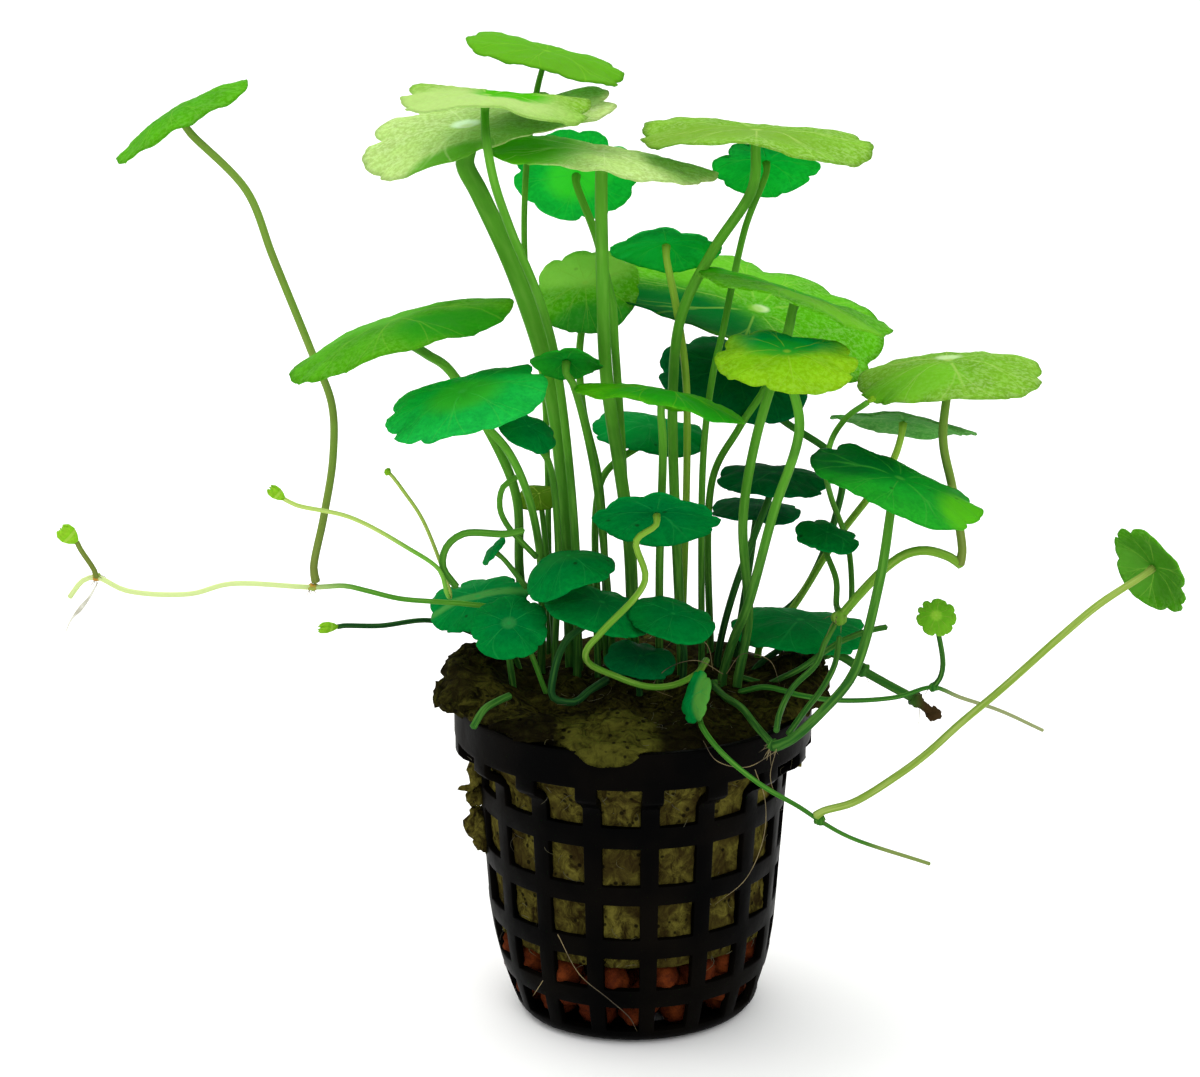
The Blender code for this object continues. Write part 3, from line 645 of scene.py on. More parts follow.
def blade_frame(at, half, slope, face, dome):
    """The rim's middle, real radius, right, back and top directions of a blade seen at a place."""
    spot = seen(*at)
    view = (EYE - spot) / np.linalg.norm(EYE - spot)
    swing = math.radians(slope)
    rise = UP * math.cos(swing) - RIGHT * math.sin(swing)
    rise = rise - view * rise.dot(view)
    rise /= np.linalg.norm(rise)
    tilt = abs(face)
    if tilt < 2.0 * dome:
        tilt = 2.0 * math.sqrt(2.0 * dome * tilt) - 2.0 * dome
    radius = half * (spot - EYE).dot(FORWARD) / REACH
    centre = spot + rise * radius * (tilt - abs(face))
    tilt = math.copysign(tilt, face)
    top = view * tilt + rise * math.sqrt(1.0 - tilt * tilt)
    right = np.cross(rise, view)
    return centre, radius, right, np.cross(top, right), top


def blade_bits(place, dome, wave, turn, lobes, notch, droops, stretch, shift, seed):
    """The closed sheet of a blade: its lobed outline, dome, waves, drooping sides and veins."""
    centre, radius, right, back, top = place
    draw = random.Random(seed)
    rings, steps = BLADE_RINGS, STEPS_PER_LOBE * lobes
    share = ((np.arange(rings) + 1) / rings)[:, None] ** 0.9
    angle = (turn + 2 * np.pi * np.arange(steps) / steps)[None, :]
    drift = 0.2 * np.sin(2 * angle + 5 * turn + seed) + 0.14 * np.sin(3 * angle + 7 * turn)
    lobe = lobes * (angle - turn) / (2 * np.pi) + drift
    depth = np.array([notch * draw.uniform(0.45, 1.5) for _ in range(lobes)])
    valley = depth[np.floor(lobe).astype(int) % lobes]
    gap = np.abs(2.0 * (((lobe + 0.5) % 1.0) - 0.5))
    scallop = np.abs(2.0 * (((3.0 * lobe + 0.5) % 1.0) - 0.5))
    outline = 1.01 - share ** 2 * (valley * gap ** 3.2 + SCALLOP * scallop ** 2)
    outline *= 1.0 + share ** 2 * 0.03 * np.sin(2 * angle + seed)
    reach = radius * share * outline
    outer = np.clip((share - 0.3) / 0.7, 0.0, None)
    height = dome * (1.0 - share ** 2) + wave * outer * np.sin(3 * angle + turn)
    for toward, amount, spread in droops:
        facing = np.cos(angle - math.radians(toward))
        height = height - amount * share ** 2 * np.clip(facing, 0.0, None) ** spread
    height = height - CREASE * outer ** 2 * np.cos(2 * np.pi * (lobe + 0.5))
    height = height + SWELL * share * (1.0 - share) * np.cos(4 * np.pi * lobe)
    height = height - HUB_DIMPLE * np.exp(-(share / HUB_SHARE) ** 2)
    across = np.cos(angle) * reach * stretch + shift * radius * share
    upper = (centre + across[..., None] * right + (np.sin(angle) * reach)[..., None] * back
             + (height * radius)[..., None] * top)
    ripple = np.array([[noise.fractal(Vector(spot / RIPPLE_SIZE), 0.8, 2.0, 3) for spot in ring]
                       for ring in upper])
    upper = upper + (RIPPLE * ripple * np.minimum(1.0, 2.0 * share))[..., None] * top
    thin = BLADE_THICKNESS - RIM_THINNING * share
    inset = centre + (upper - centre) * (1.0 - 0.012 * share ** 4)[..., None]
    lower = inset - thin[..., None] * top
    crown = centre + top * radius * (dome - HUB_DIMPLE)
    middles = np.stack([crown, crown - HUB_THICKNESS * top])
    sheet = np.concatenate([upper.reshape(-1, 3), lower.reshape(-1, 3), middles])
    u = np.append(lobe[0], lobe[0, 0] + lobes)
    v = share[:, 0]
    below = rings * steps
    over = quads(rings, steps, u, v)
    under = quads(rings, steps, u, 2.0 + v, first=below)
    ring = np.arange(steps)
    after = (ring + 1) % steps
    rim = (rings - 1) * steps
    edge = np.stack([below + rim + ring, below + rim + after, rim + after, rim + ring], 1)
    flat = np.ones((steps, 4, 2))
    flat[..., 0] = u[:-1, None]
    fans = np.concatenate([np.stack([np.full_like(ring, 2 * below), ring, after], 1),
                           np.stack([np.full_like(ring, 2 * below + 1), below + after, below + ring], 1)])
    fan_grain = np.zeros((2 * steps, 3, 2))
    fan_grain[:steps, 1:, 1] = v[0]
    fan_grain[steps:, 0, 1] = 2.0
    fan_grain[steps:, 1:, 1] = 2.0 + v[0]
    return sheet, [(over[0][:, ::-1], over[1][:, ::-1]), under, (edge, flat), (fans, fan_grain)], 0


THROUGH_SKIN = (0.5, 1.0, 0.45)


def see_through(finish, body, normal, glow):
    """Lets a share of the light pass through the skin, greener than it came."""
    light = finish.nodes.new("ShaderNodeBsdfTranslucent")
    finish.put(light.inputs["Color"], finish.vector("MULTIPLY", body, THROUGH_SKIN))
    finish.put(light.inputs["Normal"], normal)
    both = finish.nodes.new("ShaderNodeMixShader")
    both.inputs[0].default_value = glow
    finish.links.new(finish.shader.outputs[0], both.inputs[1])
    finish.links.new(light.outputs[0], both.inputs[2])
    finish.links.new(both.outputs[0], finish.nodes["Material Output"].inputs["Surface"])


def vein_lines(finish, u, v):
    """Pale lines down the middle of each lobe, and two forks from each towards the rim."""
    away = finish.math("SUBTRACT", finish.math("FRACT", finish.math("ADD", u, 0.5)), 0.5)
    away = finish.math("ABSOLUTE", away)
    main = finish.ramp(finish.math("MULTIPLY", away, v), 0.004, 0.022, 1.0, 0.0)
    main = finish.math("MULTIPLY", main, finish.ramp(v, 0.5, 0.95, 1.0, 0.2))
    fork = finish.math("MULTIPLY", finish.math("MAXIMUM", finish.math("SUBTRACT", v, 0.42), 0.0), 0.42)
    fork = finish.math("ABSOLUTE", finish.math("SUBTRACT", away, fork))
    fork = finish.ramp(finish.math("MULTIPLY", fork, v), 0.003, 0.016, 0.6, 0.0)
    fork = finish.math("MULTIPLY", fork, finish.ramp(v, 0.42, 0.5))
    return finish.math("MULTIPLY", finish.math("MAXIMUM", main, fork), finish.ramp(v, 0.1, 0.2))


def blade_finish(name, blade, tints_light_and_shade=()):
    """A leaf's skin: its green from middle to rim, patches of other greens, some of them painted light and
    painted shade, veins, a pale bloom partly painted as sheen, and cells.
    """
    middle, rim, vein = (tone(*colour) for colour in GREENS[blade][:3])
    bloom_and_sheen, glow, dirt = GREENS[blade][3:]
    finish = Finish("skin_of_" + name, 0.42, 0.004)
    grain = finish.axes("UV")
    under = finish.math("GREATER_THAN", grain["Y"], 1.5)
    v = finish.math("SUBTRACT", grain["Y"], finish.math("MULTIPLY", under, 2.0))
    veins = vein_lines(finish, grain["X"], v)
    mottle = finish.clouds(210.0, 6.0, 0.62)
    cells = finish.clouds(1500.0, 5.0, 0.7)
    body = finish.blend(finish.ramp(v, 0.15, 1.0), middle, rim)
    deep = [0.6 * value for value in middle[:3]] + [1.0]
    body = finish.blend(finish.ramp(mottle, 0.42, 0.68, 0.0, 0.35), body, deep)
    body = finish.blend(finish.ramp(cells, 0.38, 0.58, 0.36, 0.0), body, deep)
    # A pale frost over the greens: partly the skin's own bloom, partly painted sheen.
    if bloom_and_sheen:
        frost_and_sheen = finish.ramp(mottle, 0.34, 0.6, 0.35, 1.0)
        frost_and_sheen = finish.math("MULTIPLY", finish.ramp(cells, 0.44, 0.6), frost_and_sheen)
        body = finish.blend(finish.math("MULTIPLY", frost_and_sheen, bloom_and_sheen), body, tone(228, 238, 186))
    plan = finish.node("ShaderNodeUVMap", settings=[("uv_map", "plan")])
    # Patches of other greens; on some leaves they are painted light, or painted shade where other leaves hang
    # over them.
    for right, back, wide, long, colour, strength in tints_light_and_shade:
        off = finish.vector("SUBTRACT", plan, (right, back, 0.0))
        off = finish.vector("DIVIDE", off, (wide, long, 1.0))
        off = finish.node("ShaderNodeVectorMath", 1, [("operation", "LENGTH")], _0=off)
        off = finish.math("ADD", off, finish.math("MULTIPLY", mottle, 0.5))
        body = finish.blend(finish.ramp(off, 0.8, 1.45, strength, 0.0), body, tone(*colour))
    body = finish.blend(finish.math("MULTIPLY", veins, 0.5), body, vein)
    body = finish.blend(finish.ramp(v, 0.02, 0.08, 0.7, 0.0), body, vein)
    if dirt:
        spots = finish.ramp(finish.specks(210.0), 0.04, 0.1, dirt, 0.0)
        body = finish.blend(spots, body, tone(24, 34, 12))
    finish.put(finish.shader.inputs["Base Color"], body)
    finish.put(finish.shader.inputs["Roughness"], finish.ramp(cells, 0.3, 0.7, 0.34, 0.5))
    height = finish.math("ADD", finish.math("MULTIPLY", cells, 0.5), finish.math("MULTIPLY", veins, -0.5))
    see_through(finish, body, finish.relief(height, 0.0002, 0.6), glow)
    return finish.material


# A blade's colour in its middle, at its rim and in its veins, its bloom with painted sheen, its glow and its
# specks.
# The silver greens hold painted light of the lit upper leaves, spring painted backlight on the undersides of
# leaves 8, 10 and 11, and dark and shade painted shade on the low leaves.
GREENS = {
    "silver": ((200, 224, 130), (208, 228, 140), (232, 240, 178), 0.55, 0.42, 0.0),
    "silver_green": ((130, 190, 44), (144, 198, 56), (192, 218, 116), 0.22, 0.42, 0.0),
    "lime": ((96, 196, 24), (106, 200, 28), (150, 212, 56), 0.0, 0.5, 0.0),
    "fresh": ((82, 176, 18), (98, 186, 24), (138, 200, 64), 0.06, 0.42, 0.2),
    "grass": ((94, 190, 16), (104, 196, 20), (164, 212, 84), 0.14, 0.42, 0.2),
    "spring": ((26, 208, 98), (46, 214, 98), (96, 220, 104), 0.0, 0.55, 0.0),
    "lemon": ((150, 208, 20), (162, 214, 30), (176, 216, 66), 0.05, 0.42, 0.0),
    "deep": ((24, 168, 48), (44, 178, 44), (80, 186, 66), 0.0, 0.38, 0.4),
    "dark": ((0, 132, 60), (4, 144, 58), (40, 164, 76), 0.0, 0.34, 0.6),
    "shade": ((0, 96, 50), (2, 108, 52), (20, 122, 52), 0.0, 0.28, 0.6),
    "young": ((150, 206, 44), (166, 214, 54), (190, 218, 90), 0.0, 0.42, 0.0),
    "edge": ((78, 162, 64), (104, 180, 84), (146, 198, 120), 0.1, 0.42, 0.0),
}


def stalk_finish(name, low, high, streak, far=None):
    """Smooth green skin with fine lengthwise streaks, and painted shade that makes it darker down in the
    bunch.

    With far, the tone changes from one X in metres to another, between two shares.
    """
    finish = Finish("stalk_" + name, 0.36, 0.012)
    at = finish.axes("Object")
    grain = finish.vector("MULTIPLY", finish.place.outputs["UV"], (9.0, 0.12, 1.0))
    lines = finish.node("ShaderNodeTexNoise", Vector=grain, Scale=1.0, Detail=3.0)
    patch = finish.clouds(90.0, 3.0)
    # Painted shade: the low tone darkens the stalks down in the bunch, under the leaves.
    body = finish.blend(finish.ramp(at["Z"], 0.052, 0.1), tone(*low), tone(*high))
    body = finish.blend(finish.ramp(lines, 0.4, 0.7, 0.0, 0.34), body, tone(*streak))
    body = finish.blend(finish.ramp(patch, 0.5, 0.72, 0.0, 0.4), body, tone(*low))
    if far:
        body = finish.blend(finish.ramp(at["X"], *far[:4]), body, tone(*far[4]))
    finish.put(finish.shader.inputs["Base Color"], body)
    see_through(finish, body, finish.relief(lines, 0.00012, 0.35), 0.2)
    return finish.material


# A stalk's tone low in the bunch, darkened there as painted shade, its tone higher up and in its streaks, and
# a change towards one end.
STALK_TONES = {
    "green": ((38, 88, 32), (92, 164, 46), (128, 188, 76)),
    "dark": ((24, 66, 32), (60, 128, 44), (88, 150, 62)),
    "pale": ((80, 138, 36), (148, 192, 62), (180, 204, 104)),
    "cream": ((170, 200, 92), (190, 212, 112), (222, 230, 164), (-0.038, -0.031, 0.0, 0.9, (104, 172, 56))),
    "brown": ((108, 112, 52), (120, 156, 60), (146, 160, 92)),
    "yellow": ((128, 158, 60), (178, 202, 96), (204, 218, 134)),
    "fading": ((60, 128, 36), (112, 178, 54), (148, 200, 88), (-0.052, -0.04, 0.95, 0.0, (214, 226, 158))),
    "straw": ((40, 104, 34), (92, 166, 44), (128, 190, 74), (0.045, 0.049, 0.0, 0.9, (160, 166, 118))),
    "low_straw": ((48, 108, 32), (92, 166, 44), (128, 190, 74), (0.033, 0.037, 0.0, 0.85, (136, 150, 84))),
    "cut": ((46, 104, 36), (74, 130, 46), (104, 146, 62), (0.041, 0.0445, 0.0, 0.95, (62, 40, 24))),
}
STALKS = {name: stalk_finish(name, *tones) for name, tones in STALK_TONES.items()}


def planted(path, foot):
    """A stalk's path carried down into the wool at its foot, if it has one."""
    if not foot:
        return path
    base = wool_height(*foot)
    return path + [np.array((*foot, base + FOOT_RISE)), np.array((*foot, base - FOOT_SINK))]


def leaf(number, at, half, slope, face, stalk, foot=None, dome=0.2, wave=0.04, width=1.0, lobes=8,
         blade="fresh", skin="green", notch=0.075, droops=(), tints_light_and_shade=(), stretch=1.0, shift=0.0):
    """One leaf; its stalk follows picture points from the blade to its foot in the wool."""
    place = blade_frame(at, half, slope, face, dome)
    centre, radius, right, back, top = place
    turn = 0.3 * at[0] % 1.0
    join = centre + top * (radius * (dome - HUB_DIMPLE) - JOIN_DEPTH - 0.3 * width)
    path = [join, join - top * NECK] + route(stalk, at[2], foot[1] if foot else stalk[-1][2])
    path = planted(path, foot)
    radii = [0.6 * width, 0.48 * width] + [0.52 * width] * (len(path) - 3) + [0.6 * width]
    name = f"leaf_{number:02d}"
    bits = [blade_bits(place, dome, wave, turn, lobes, notch, droops, stretch, shift, number),
            stem(path, radii, finish=1)]
    made = piece("pennywort_" + name, bits, [blade_finish(name, blade, tints_light_and_shade), STALKS[skin]])
    mesh = made.data
    spots = np.empty(3 * len(mesh.vertices))
    mesh.vertices.foreach_get("co", spots)
    spots = spots.reshape(-1, 3) / MM - centre
    corners = np.empty(len(mesh.loops), int)
    mesh.loops.foreach_get("vertex_index", corners)
    plan = np.stack([spots @ right, spots @ back], 1)[corners] / radius
    mesh.uv_layers.new(name="plan").uv.foreach_set("vector", plan.astype(np.float32).ravel())
    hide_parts(name)


leaf(1, (-68, 139, -2), 11.2, 31, 0.15,
     [(-66.3, 136.5), (-58, 128), (-54, 118), (-48.3, 104, 1), (-45.2, 96, 1), (-45, 88, 0), (-46.4, 79, -3),
      (-47.9, 71.4, -6.3), (-47.6, 69.4, -6)], dome=0.22, width=1.15, blade="fresh", skin="brown",
     tints_light_and_shade=[(0.2, 0.5, 0.9, 0.4, (112, 186, 60), 0.7)])
leaf(2, (-35, 106.5, -12), 17.2, 18.4, 0.18,
     [(-31, 103.5, -6), (-27.5, 101, -2), (-18, 84, 3), (-17, 71, 11)],
     foot=(-16.5, 13.5), dome=0.22, width=1.4, blade="fresh",
     tints_light_and_shade=[(-0.2, 0.3, 0.7, 0.5, (112, 198, 62), 0.7), (0.5, -0.6, 0.6, 0.4, (34, 158, 26), 0.8)])
leaf(3, (-25, 96, -20), 12.5, 18, 0.38, [(-18.5, 88.5), (-14, 74)], foot=(-14, 6), width=1.2, blade="spring",
     notch=0.1, tints_light_and_shade=[(0.0, -0.1, 0.5, 0.45, (84, 206, 62), 0.8), (0.7, 0.5, 0.5, 0.4, (8, 156, 52), 0.8)])
leaf(4, (-13.2, 147.9, 4), 12.5, -13.5, 0.17,
     [(-14.5, 142.5, 8), (-16, 131.5, 9.5), (-16, 114.5, 11), (-13.5, 100.5, 12)], foot=(-13, 14),
     blade="lime", width=0.9, dome=0.12, notch=0.06, tints_light_and_shade=[(0.0, 0.0, 1.6, 1.6, (120, 186, 44), 0.7)])
# Leaf 5: the saturated green patch near its middle is painted shade where leaf 4 hangs over it.
leaf(5, (-22.1, 141.3, -17), 14.8, -4, 0.13,
     [(-22, 135.5, -22.5), (-21, 130, -22), (-18.5, 122.5, -15), (-14, 111.5, -8), (-11.5, 102, -3),
      (-8.7, 76, 0)],
     foot=(-8.5, 3), dome=0.12, wave=0.08, width=1.25, shift=0.11, lobes=9, blade="silver_green", notch=0.08,
     tints_light_and_shade=[(-0.2, -0.4, 1.1, 0.8, (206, 222, 146), 0.75), (0.25, 0.06, 0.42, 0.4, (82, 190, 10), 1.0)])
# Leaf 6: the green patch along its front rim is painted shade.
leaf(6, (-25, 137.4, -5.5), 15.3, 9, 0.28,
     [(-25.2, 132), (-23, 127.5), (-17, 114, -1), (-11.5, 95, 2)], foot=(-9, 7), dome=0.05, width=2.7,
     lobes=9, blade="silver", notch=0.16, stretch=1.3, shift=0.24,
     droops=[(215, 0.2, 2.0), (290, -0.12, 2.0)],
     tints_light_and_shade=[(-0.2, -0.85, 0.5, 0.3, (104, 186, 40), 0.9), (0.0, 0.05, 0.16, 0.13, (255, 255, 244), 1.0)])
# Leaf 7: the green patch over its left part is a painted shadow of leaf 6.
leaf(7, (-4.5, 132.9, -8), 17.2, -6.5, 0.15,
     [(-4.5, 113), (-4, 100.5), (-0.5, 75)], foot=(0, 4), dome=0.08, width=1.9, lobes=9,
     blade="silver", droops=[(50, 0.13, 1.5)],
     tints_light_and_shade=[(-0.85, 0.1, 0.7, 1.4, (112, 206, 40), 1.0)])
leaf(8, (-8.5, 130.2, 18), 9.2, 0, -0.75,
     [(-5.5, 121, 10.5), (-4, 115, 5), (-3, 110.5, 0), (-2.7, 105, -2.5), (-2, 95, 1.5)], foot=(0, 9),
     dome=0.1, width=1.2, blade="spring", notch=0.11, tints_light_and_shade=[(0.0, 0.1, 0.55, 0.5, (104, 230, 84), 0.8)])
leaf(9, (18.5, 136, -8), 17.3, -3, 0.13,
     [(18, 128.5), (12, 119), (7.5, 110, -4), (6, 98, 0.5)],
     foot=(7.5, 4), dome=0.1, wave=0.07, width=1.5, lobes=9, blade="silver_green", notch=0.05,
     droops=[(0, 0.08, 2.0)], tints_light_and_shade=[(-0.3, -0.3, 0.9, 0.5, (132, 176, 58), 0.7)])
leaf(10, (20, 131.5, 6), 8.3, 0, -0.5,
     [(17, 123), (14.7, 113, 2.5), (13.5, 107, -2), (12, 100.5, -6), (10.5, 87.5, 1)],
     foot=(10.5, 7), width=1.0, blade="spring", notch=0.14)
leaf(11, (5, 119, 1), 8.8, 0, -0.33, [(6.5, 110.5, 0), (8, 99, 1.5)], foot=(7.5, 12), blade="spring",
     skin="pale", width=1.1, notch=0.09, tints_light_and_shade=[(-0.3, 0.2, 0.6, 0.6, (40, 214, 104), 0.8)])
# Leaf 12: the pale patch over its back is painted light, and the deep green patch along its front, where it
# curves down, is painted shade.
leaf(12, (-7.0, 113.2, 8), 8.3, 10, 0.7, [(-8, 104), (-7.5, 95.5), (-5, 84)], foot=(-4, 9), width=1.1,
     blade="grass", droops=[(275, 0.14, 2.0)],
     tints_light_and_shade=[(0.0, 0.4, 1.0, 0.6, (168, 222, 96), 0.9), (0.1, -0.85, 1.2, 0.42, (20, 154, 50), 0.7)])
# Leaf 13: the dark patch over its front left, folded down under the rest, is painted shade.
leaf(13, (18.0, 108.2, 18), 19.8, -15, 0.48,
     [(20.5, 100.5, 12), (16, 92.5, 9), (12, 85, 10)], foot=(12, 14), dome=0.15, width=1.1, lobes=9,
     blade="grass", notch=0.06, stretch=1.1, shift=-0.1, droops=[(250, -0.34, 1.5)],
     tints_light_and_shade=[(-0.6, -0.5, 0.85, 0.6, (0, 124, 44), 1.0), (-0.3, 0.45, 0.7, 0.4, (122, 204, 50), 0.6),
              (0.03, 0.02, 0.07, 0.06, (236, 244, 200), 0.8)])
leaf(14, (24.5, 111.8, -11), 15.0, -18, 0.08,
     [(23.3, 107, -9.5), (18.5, 91, -7), (16.5, 78.5, -5), (17.3, 64, -5)],
     foot=(15.7, -2), dome=0.11, width=1.4, blade="grass", notch=0.04,
     tints_light_and_shade=[(-0.3, 0.3, 0.9, 0.35, (70, 200, 14), 0.9), (0.3, -0.5, 0.8, 0.3, (140, 212, 52), 0.7)])
# Leaf 15: the deep greens over its back half and middle are painted shade.
leaf(15, (23.0, 102.3, -23), 10.5, -3, 0.45,
     [(25, 93), (21, 79.5, -13), (17.3, 66, -9), (15, 60.5, -4)], foot=(13.5, 0), width=1.4,
     blade="lemon", notch=0.09, tints_light_and_shade=[(0.0, 0.45, 0.8, 0.55, (0, 172, 82), 1.0),
                                          (-0.1, 0.1, 0.5, 0.3, (40, 178, 40), 0.7)])
leaf(16, (47.5, 100, -6), 14.1, 4, 0.28, [(46.5, 91, -8), (48, 83, -7), (49.4, 73.8, -9), (49, 72, -9)],
     dome=0.25, width=1.3, blade="silver_green", skin="brown",
     tints_light_and_shade=[(-0.4, -0.5, 0.7, 0.4, (130, 204, 44), 0.7), (0.0, 0.1, 0.16, 0.1, (226, 240, 190), 0.8)])
leaf(17, (40.5, 93, 4), 11.5, -7, -0.12, [(38.5, 86.5), (30, 75, 14), (24, 65.5, 17)], foot=(19.5, 14),
     dome=0.12, blade="edge", width=1.1, skin="pale")
leaf(18, (39.5, 83.5, -18), 13.8, -22, 0.28,
     [(37, 69.5, -19), (33, 55.5, -22), (28.5, 50, -24), (23.5, 45.5, -27), (21.2, 44.6, -26.5)], dome=0.14,
     width=1.4, blade="deep", notch=0.1,
     tints_light_and_shade=[(-0.7, 0.3, 0.8, 0.9, (2, 112, 40), 0.95), (0.85, -0.1, 0.4, 0.6, (96, 196, 30), 0.9)])
leaf(19, (29, 76, -2), 5, -15, 0.45, [(30.5, 69.5), (30.5, 65.8, -6), (31, 64.8, -9)], width=0.9, lobes=6,
     blade="dark", notch=0.12)
leaf(20, (15, 99.5, 20), 11.2, -15, 0.55,
     [(22.5, 93.5, 19), (31, 87, 17), (30.5, 79.5, 18), (24.5, 66.5, 20)], foot=(16, 17), blade="shade",
     skin="dark", width=1.1)
leaf(21, (4.5, 97, -16), 13, -11, 0.11, [(4.5, 90), (4, 72, -4)], foot=(4, 1), width=1.2, blade="lime",
     notch=0.06, tints_light_and_shade=[(0.2, -0.6, 0.9, 0.4, (30, 176, 36), 0.8)])
leaf(22, (2.5, 91.5, 20), 8.7, -6, 0.35, [(-4.5, 85)], foot=(-5, 15), width=1.1, blade="dark",
     tints_light_and_shade=[(0.0, 0.0, 1.0, 0.8, (0, 158, 62), 0.8)])
leaf(23, (-10, 102, -10), 5.7, -3, -0.35, [(-9, 99, -8.5), (-5.5, 84)], foot=(-3, 5), lobes=6, blade="deep",
     width=1.1)
leaf(24, (-16, 92, -12), 5, -30, 0.5, [(-13, 88, -6), (-11.3, 76, 0)], foot=(-12, 2), lobes=6, blade="dark")
leaf(25, (21, 84.5, 8), 8.4, -4, 0.3,
     [(18.5, 77, 5), (15.5, 69, 6), (13.5, 62, 8)], foot=(13, 9), blade="shade", skin="dark", width=1.1)
leaf(26, (18.5, 80, 14), 6.6, -4, 0.28, [(17.5, 72)], foot=(16, 13), lobes=6, blade="shade", skin="dark",
     width=1.1)
leaf(27, (3.5, 78.5, -16), 9.4, -2, -0.4,
     [(0.5, 75.5), (1.8, 69.5, -18), (-4.5, 62, -20), (-7, 59, -18), (-6.5, 57, -15), (-3, 55.3, -13),
      (2, 53.6, -13), (6, 53.8, -11), (9.5, 55.5, -8), (11, 57.5, -3)], width=0.95,
     blade="dark", skin="pale", notch=0.09)
leaf(28, (-9.5, 71.5, -10), 6.8, 5, 0.4,
     [(-6.9, 70, 0.4), (-5.8, 66, 1.6)], foot=(-5.3, 1.5), dome=0.36, lobes=6, blade="dark", notch=0.12,
     droops=[(215, 0.45, 2.0)],
     tints_light_and_shade=[(0.0, 0.0, 0.8, 0.3, (40, 142, 60), 0.5)])
leaf(29, (-23, 66, 5), 8, 14, 0.5, [(-20, 62, 6)], foot=(-17.5, 5.5), blade="dark", notch=0.11,
     tints_light_and_shade=[(0.0, 0.0, 1.2, 0.14, (96, 170, 80), 0.6)])
leaf(30, (-18.5, 62.5, -11), 6, 10, 0.8, [(-18.5, 58)], foot=(-18, -4), lobes=7, blade="dark", notch=0.12,
     tints_light_and_shade=[(0.0, 0.0, 0.2, 0.2, (80, 176, 92), 0.4)])
leaf(31, (-5, 65, -9), 8.5, -15, 0.4,
     [(-10, 60.5, -10), (-12, 55), (-12, 52, -12), (-9, 51.2, -12), (-6.5, 53, -9), (-4, 54.5, -5)],
     width=1.1, blade="dark", skin="dark")
leaf(32, (5.8, 63.6, -11), 6.5, -14, 0.5, [(7.5, 60, -7)], foot=(7.5, -2), lobes=6, blade="dark", skin="dark")
leaf(33, (1, 57.5, -7), 5.3, -10, 0.55, [], foot=(1, -5), lobes=6, blade="shade", skin="dark")
leaf(34, (9.5, 52, -22), 4, 80, 0.5, [(10, 51.4, -18.5)], width=0.8, lobes=6, blade="dark", notch=0.12,
     tints_light_and_shade=[(0.0, -0.6, 1.3, 0.55, (92, 158, 62), 0.85)])
leaf(35, (25, 62, 4), 10.5, -3, 0.33, [], foot=(18.5, 5), blade="dark", skin="dark",
     tints_light_and_shade=[(0.4, 0.2, 0.5, 0.5, (20, 124, 56), 0.6)])
leaf(36, (45.5, 64, -13), 3.1, 0, 0.9, [(46.5, 57, -9), (46, 54.8, -8), (45, 53.5, -8)], width=0.8, lobes=9,
     blade="young", notch=0.14,
     tints_light_and_shade=[(0.0, 0.0, 1.4, 1.4, (100, 176, 40), 0.7), (0.0, 0.0, 0.3, 0.3, (170, 216, 70), 0.8)])
leaf(37, (77.5, 71, -10), 7.7, -52, -0.5,
     [(70, 66), (64, 61), (55, 53), (49, 48), (44, 43.5), (40, 40.5), (33, 36.2), (28.5, 34.9, -29),
      (27.4, 34.2, -29)], blade="grass", skin="yellow", notch=0.11, width=1.1,
     tints_light_and_shade=[(0.0, 0.0, 1.1, 1.1, (70, 136, 34), 0.8), (-0.2, 0.6, 0.6, 0.5, (110, 180, 60), 0.7)])
leaf(38, (-21, 74, -6), 2.6, 52, 0.25, [(-16, 68.5, -6)], width=0.8, lobes=6, blade="dark")
leaf(39, (-14, 82, 8), 3.8, 10, 0.5, [(-13, 74)], foot=(-12, 10), width=0.9, lobes=6, blade="young",
     tints_light_and_shade=[(0.0, 0.0, 2.0, 2.0, (82, 122, 22), 0.9)])


# Young leaves.
# Five stalks still carry an unopened leaf. Four are folded like a fan into a small green bud that
# is pleated lengthwise, flattened and toothed at its end; one is no more than a round bead.

def folded_leaf(base, way, length, width, seed):
    rows, columns = 14, 42
    way = way / np.linalg.norm(way)
    side = np.cross(way, (0.31, 0.9, 0.3))
    side /= np.linalg.norm(side)
    other = np.cross(way, side)
    share = (np.arange(rows) / (rows - 1))[:, None, None]
    turn = (2 * np.pi * np.arange(columns) / columns)[None, :, None]
    girth = np.interp(share, (0.0, 0.25, 0.55, 0.85, 1.0), (0.3, 0.75, 1.0, 0.9, 0.5)) * width / 2
    pleat = 1.0 + 0.16 * share * np.cos(7 * turn + seed)
    teeth = 0.1 * length * share ** 4 * np.cos(7 * turn + seed)
    across = np.cos(turn) * side + 0.6 * np.sin(turn) * other
    rings = base + way * (length * share + teeth) + girth * pleat * across
    ends = np.stack([base - 0.1 * way, base + way * 0.88 * length])
    return closed(rings, ends, 0.3 * np.arange(rows))


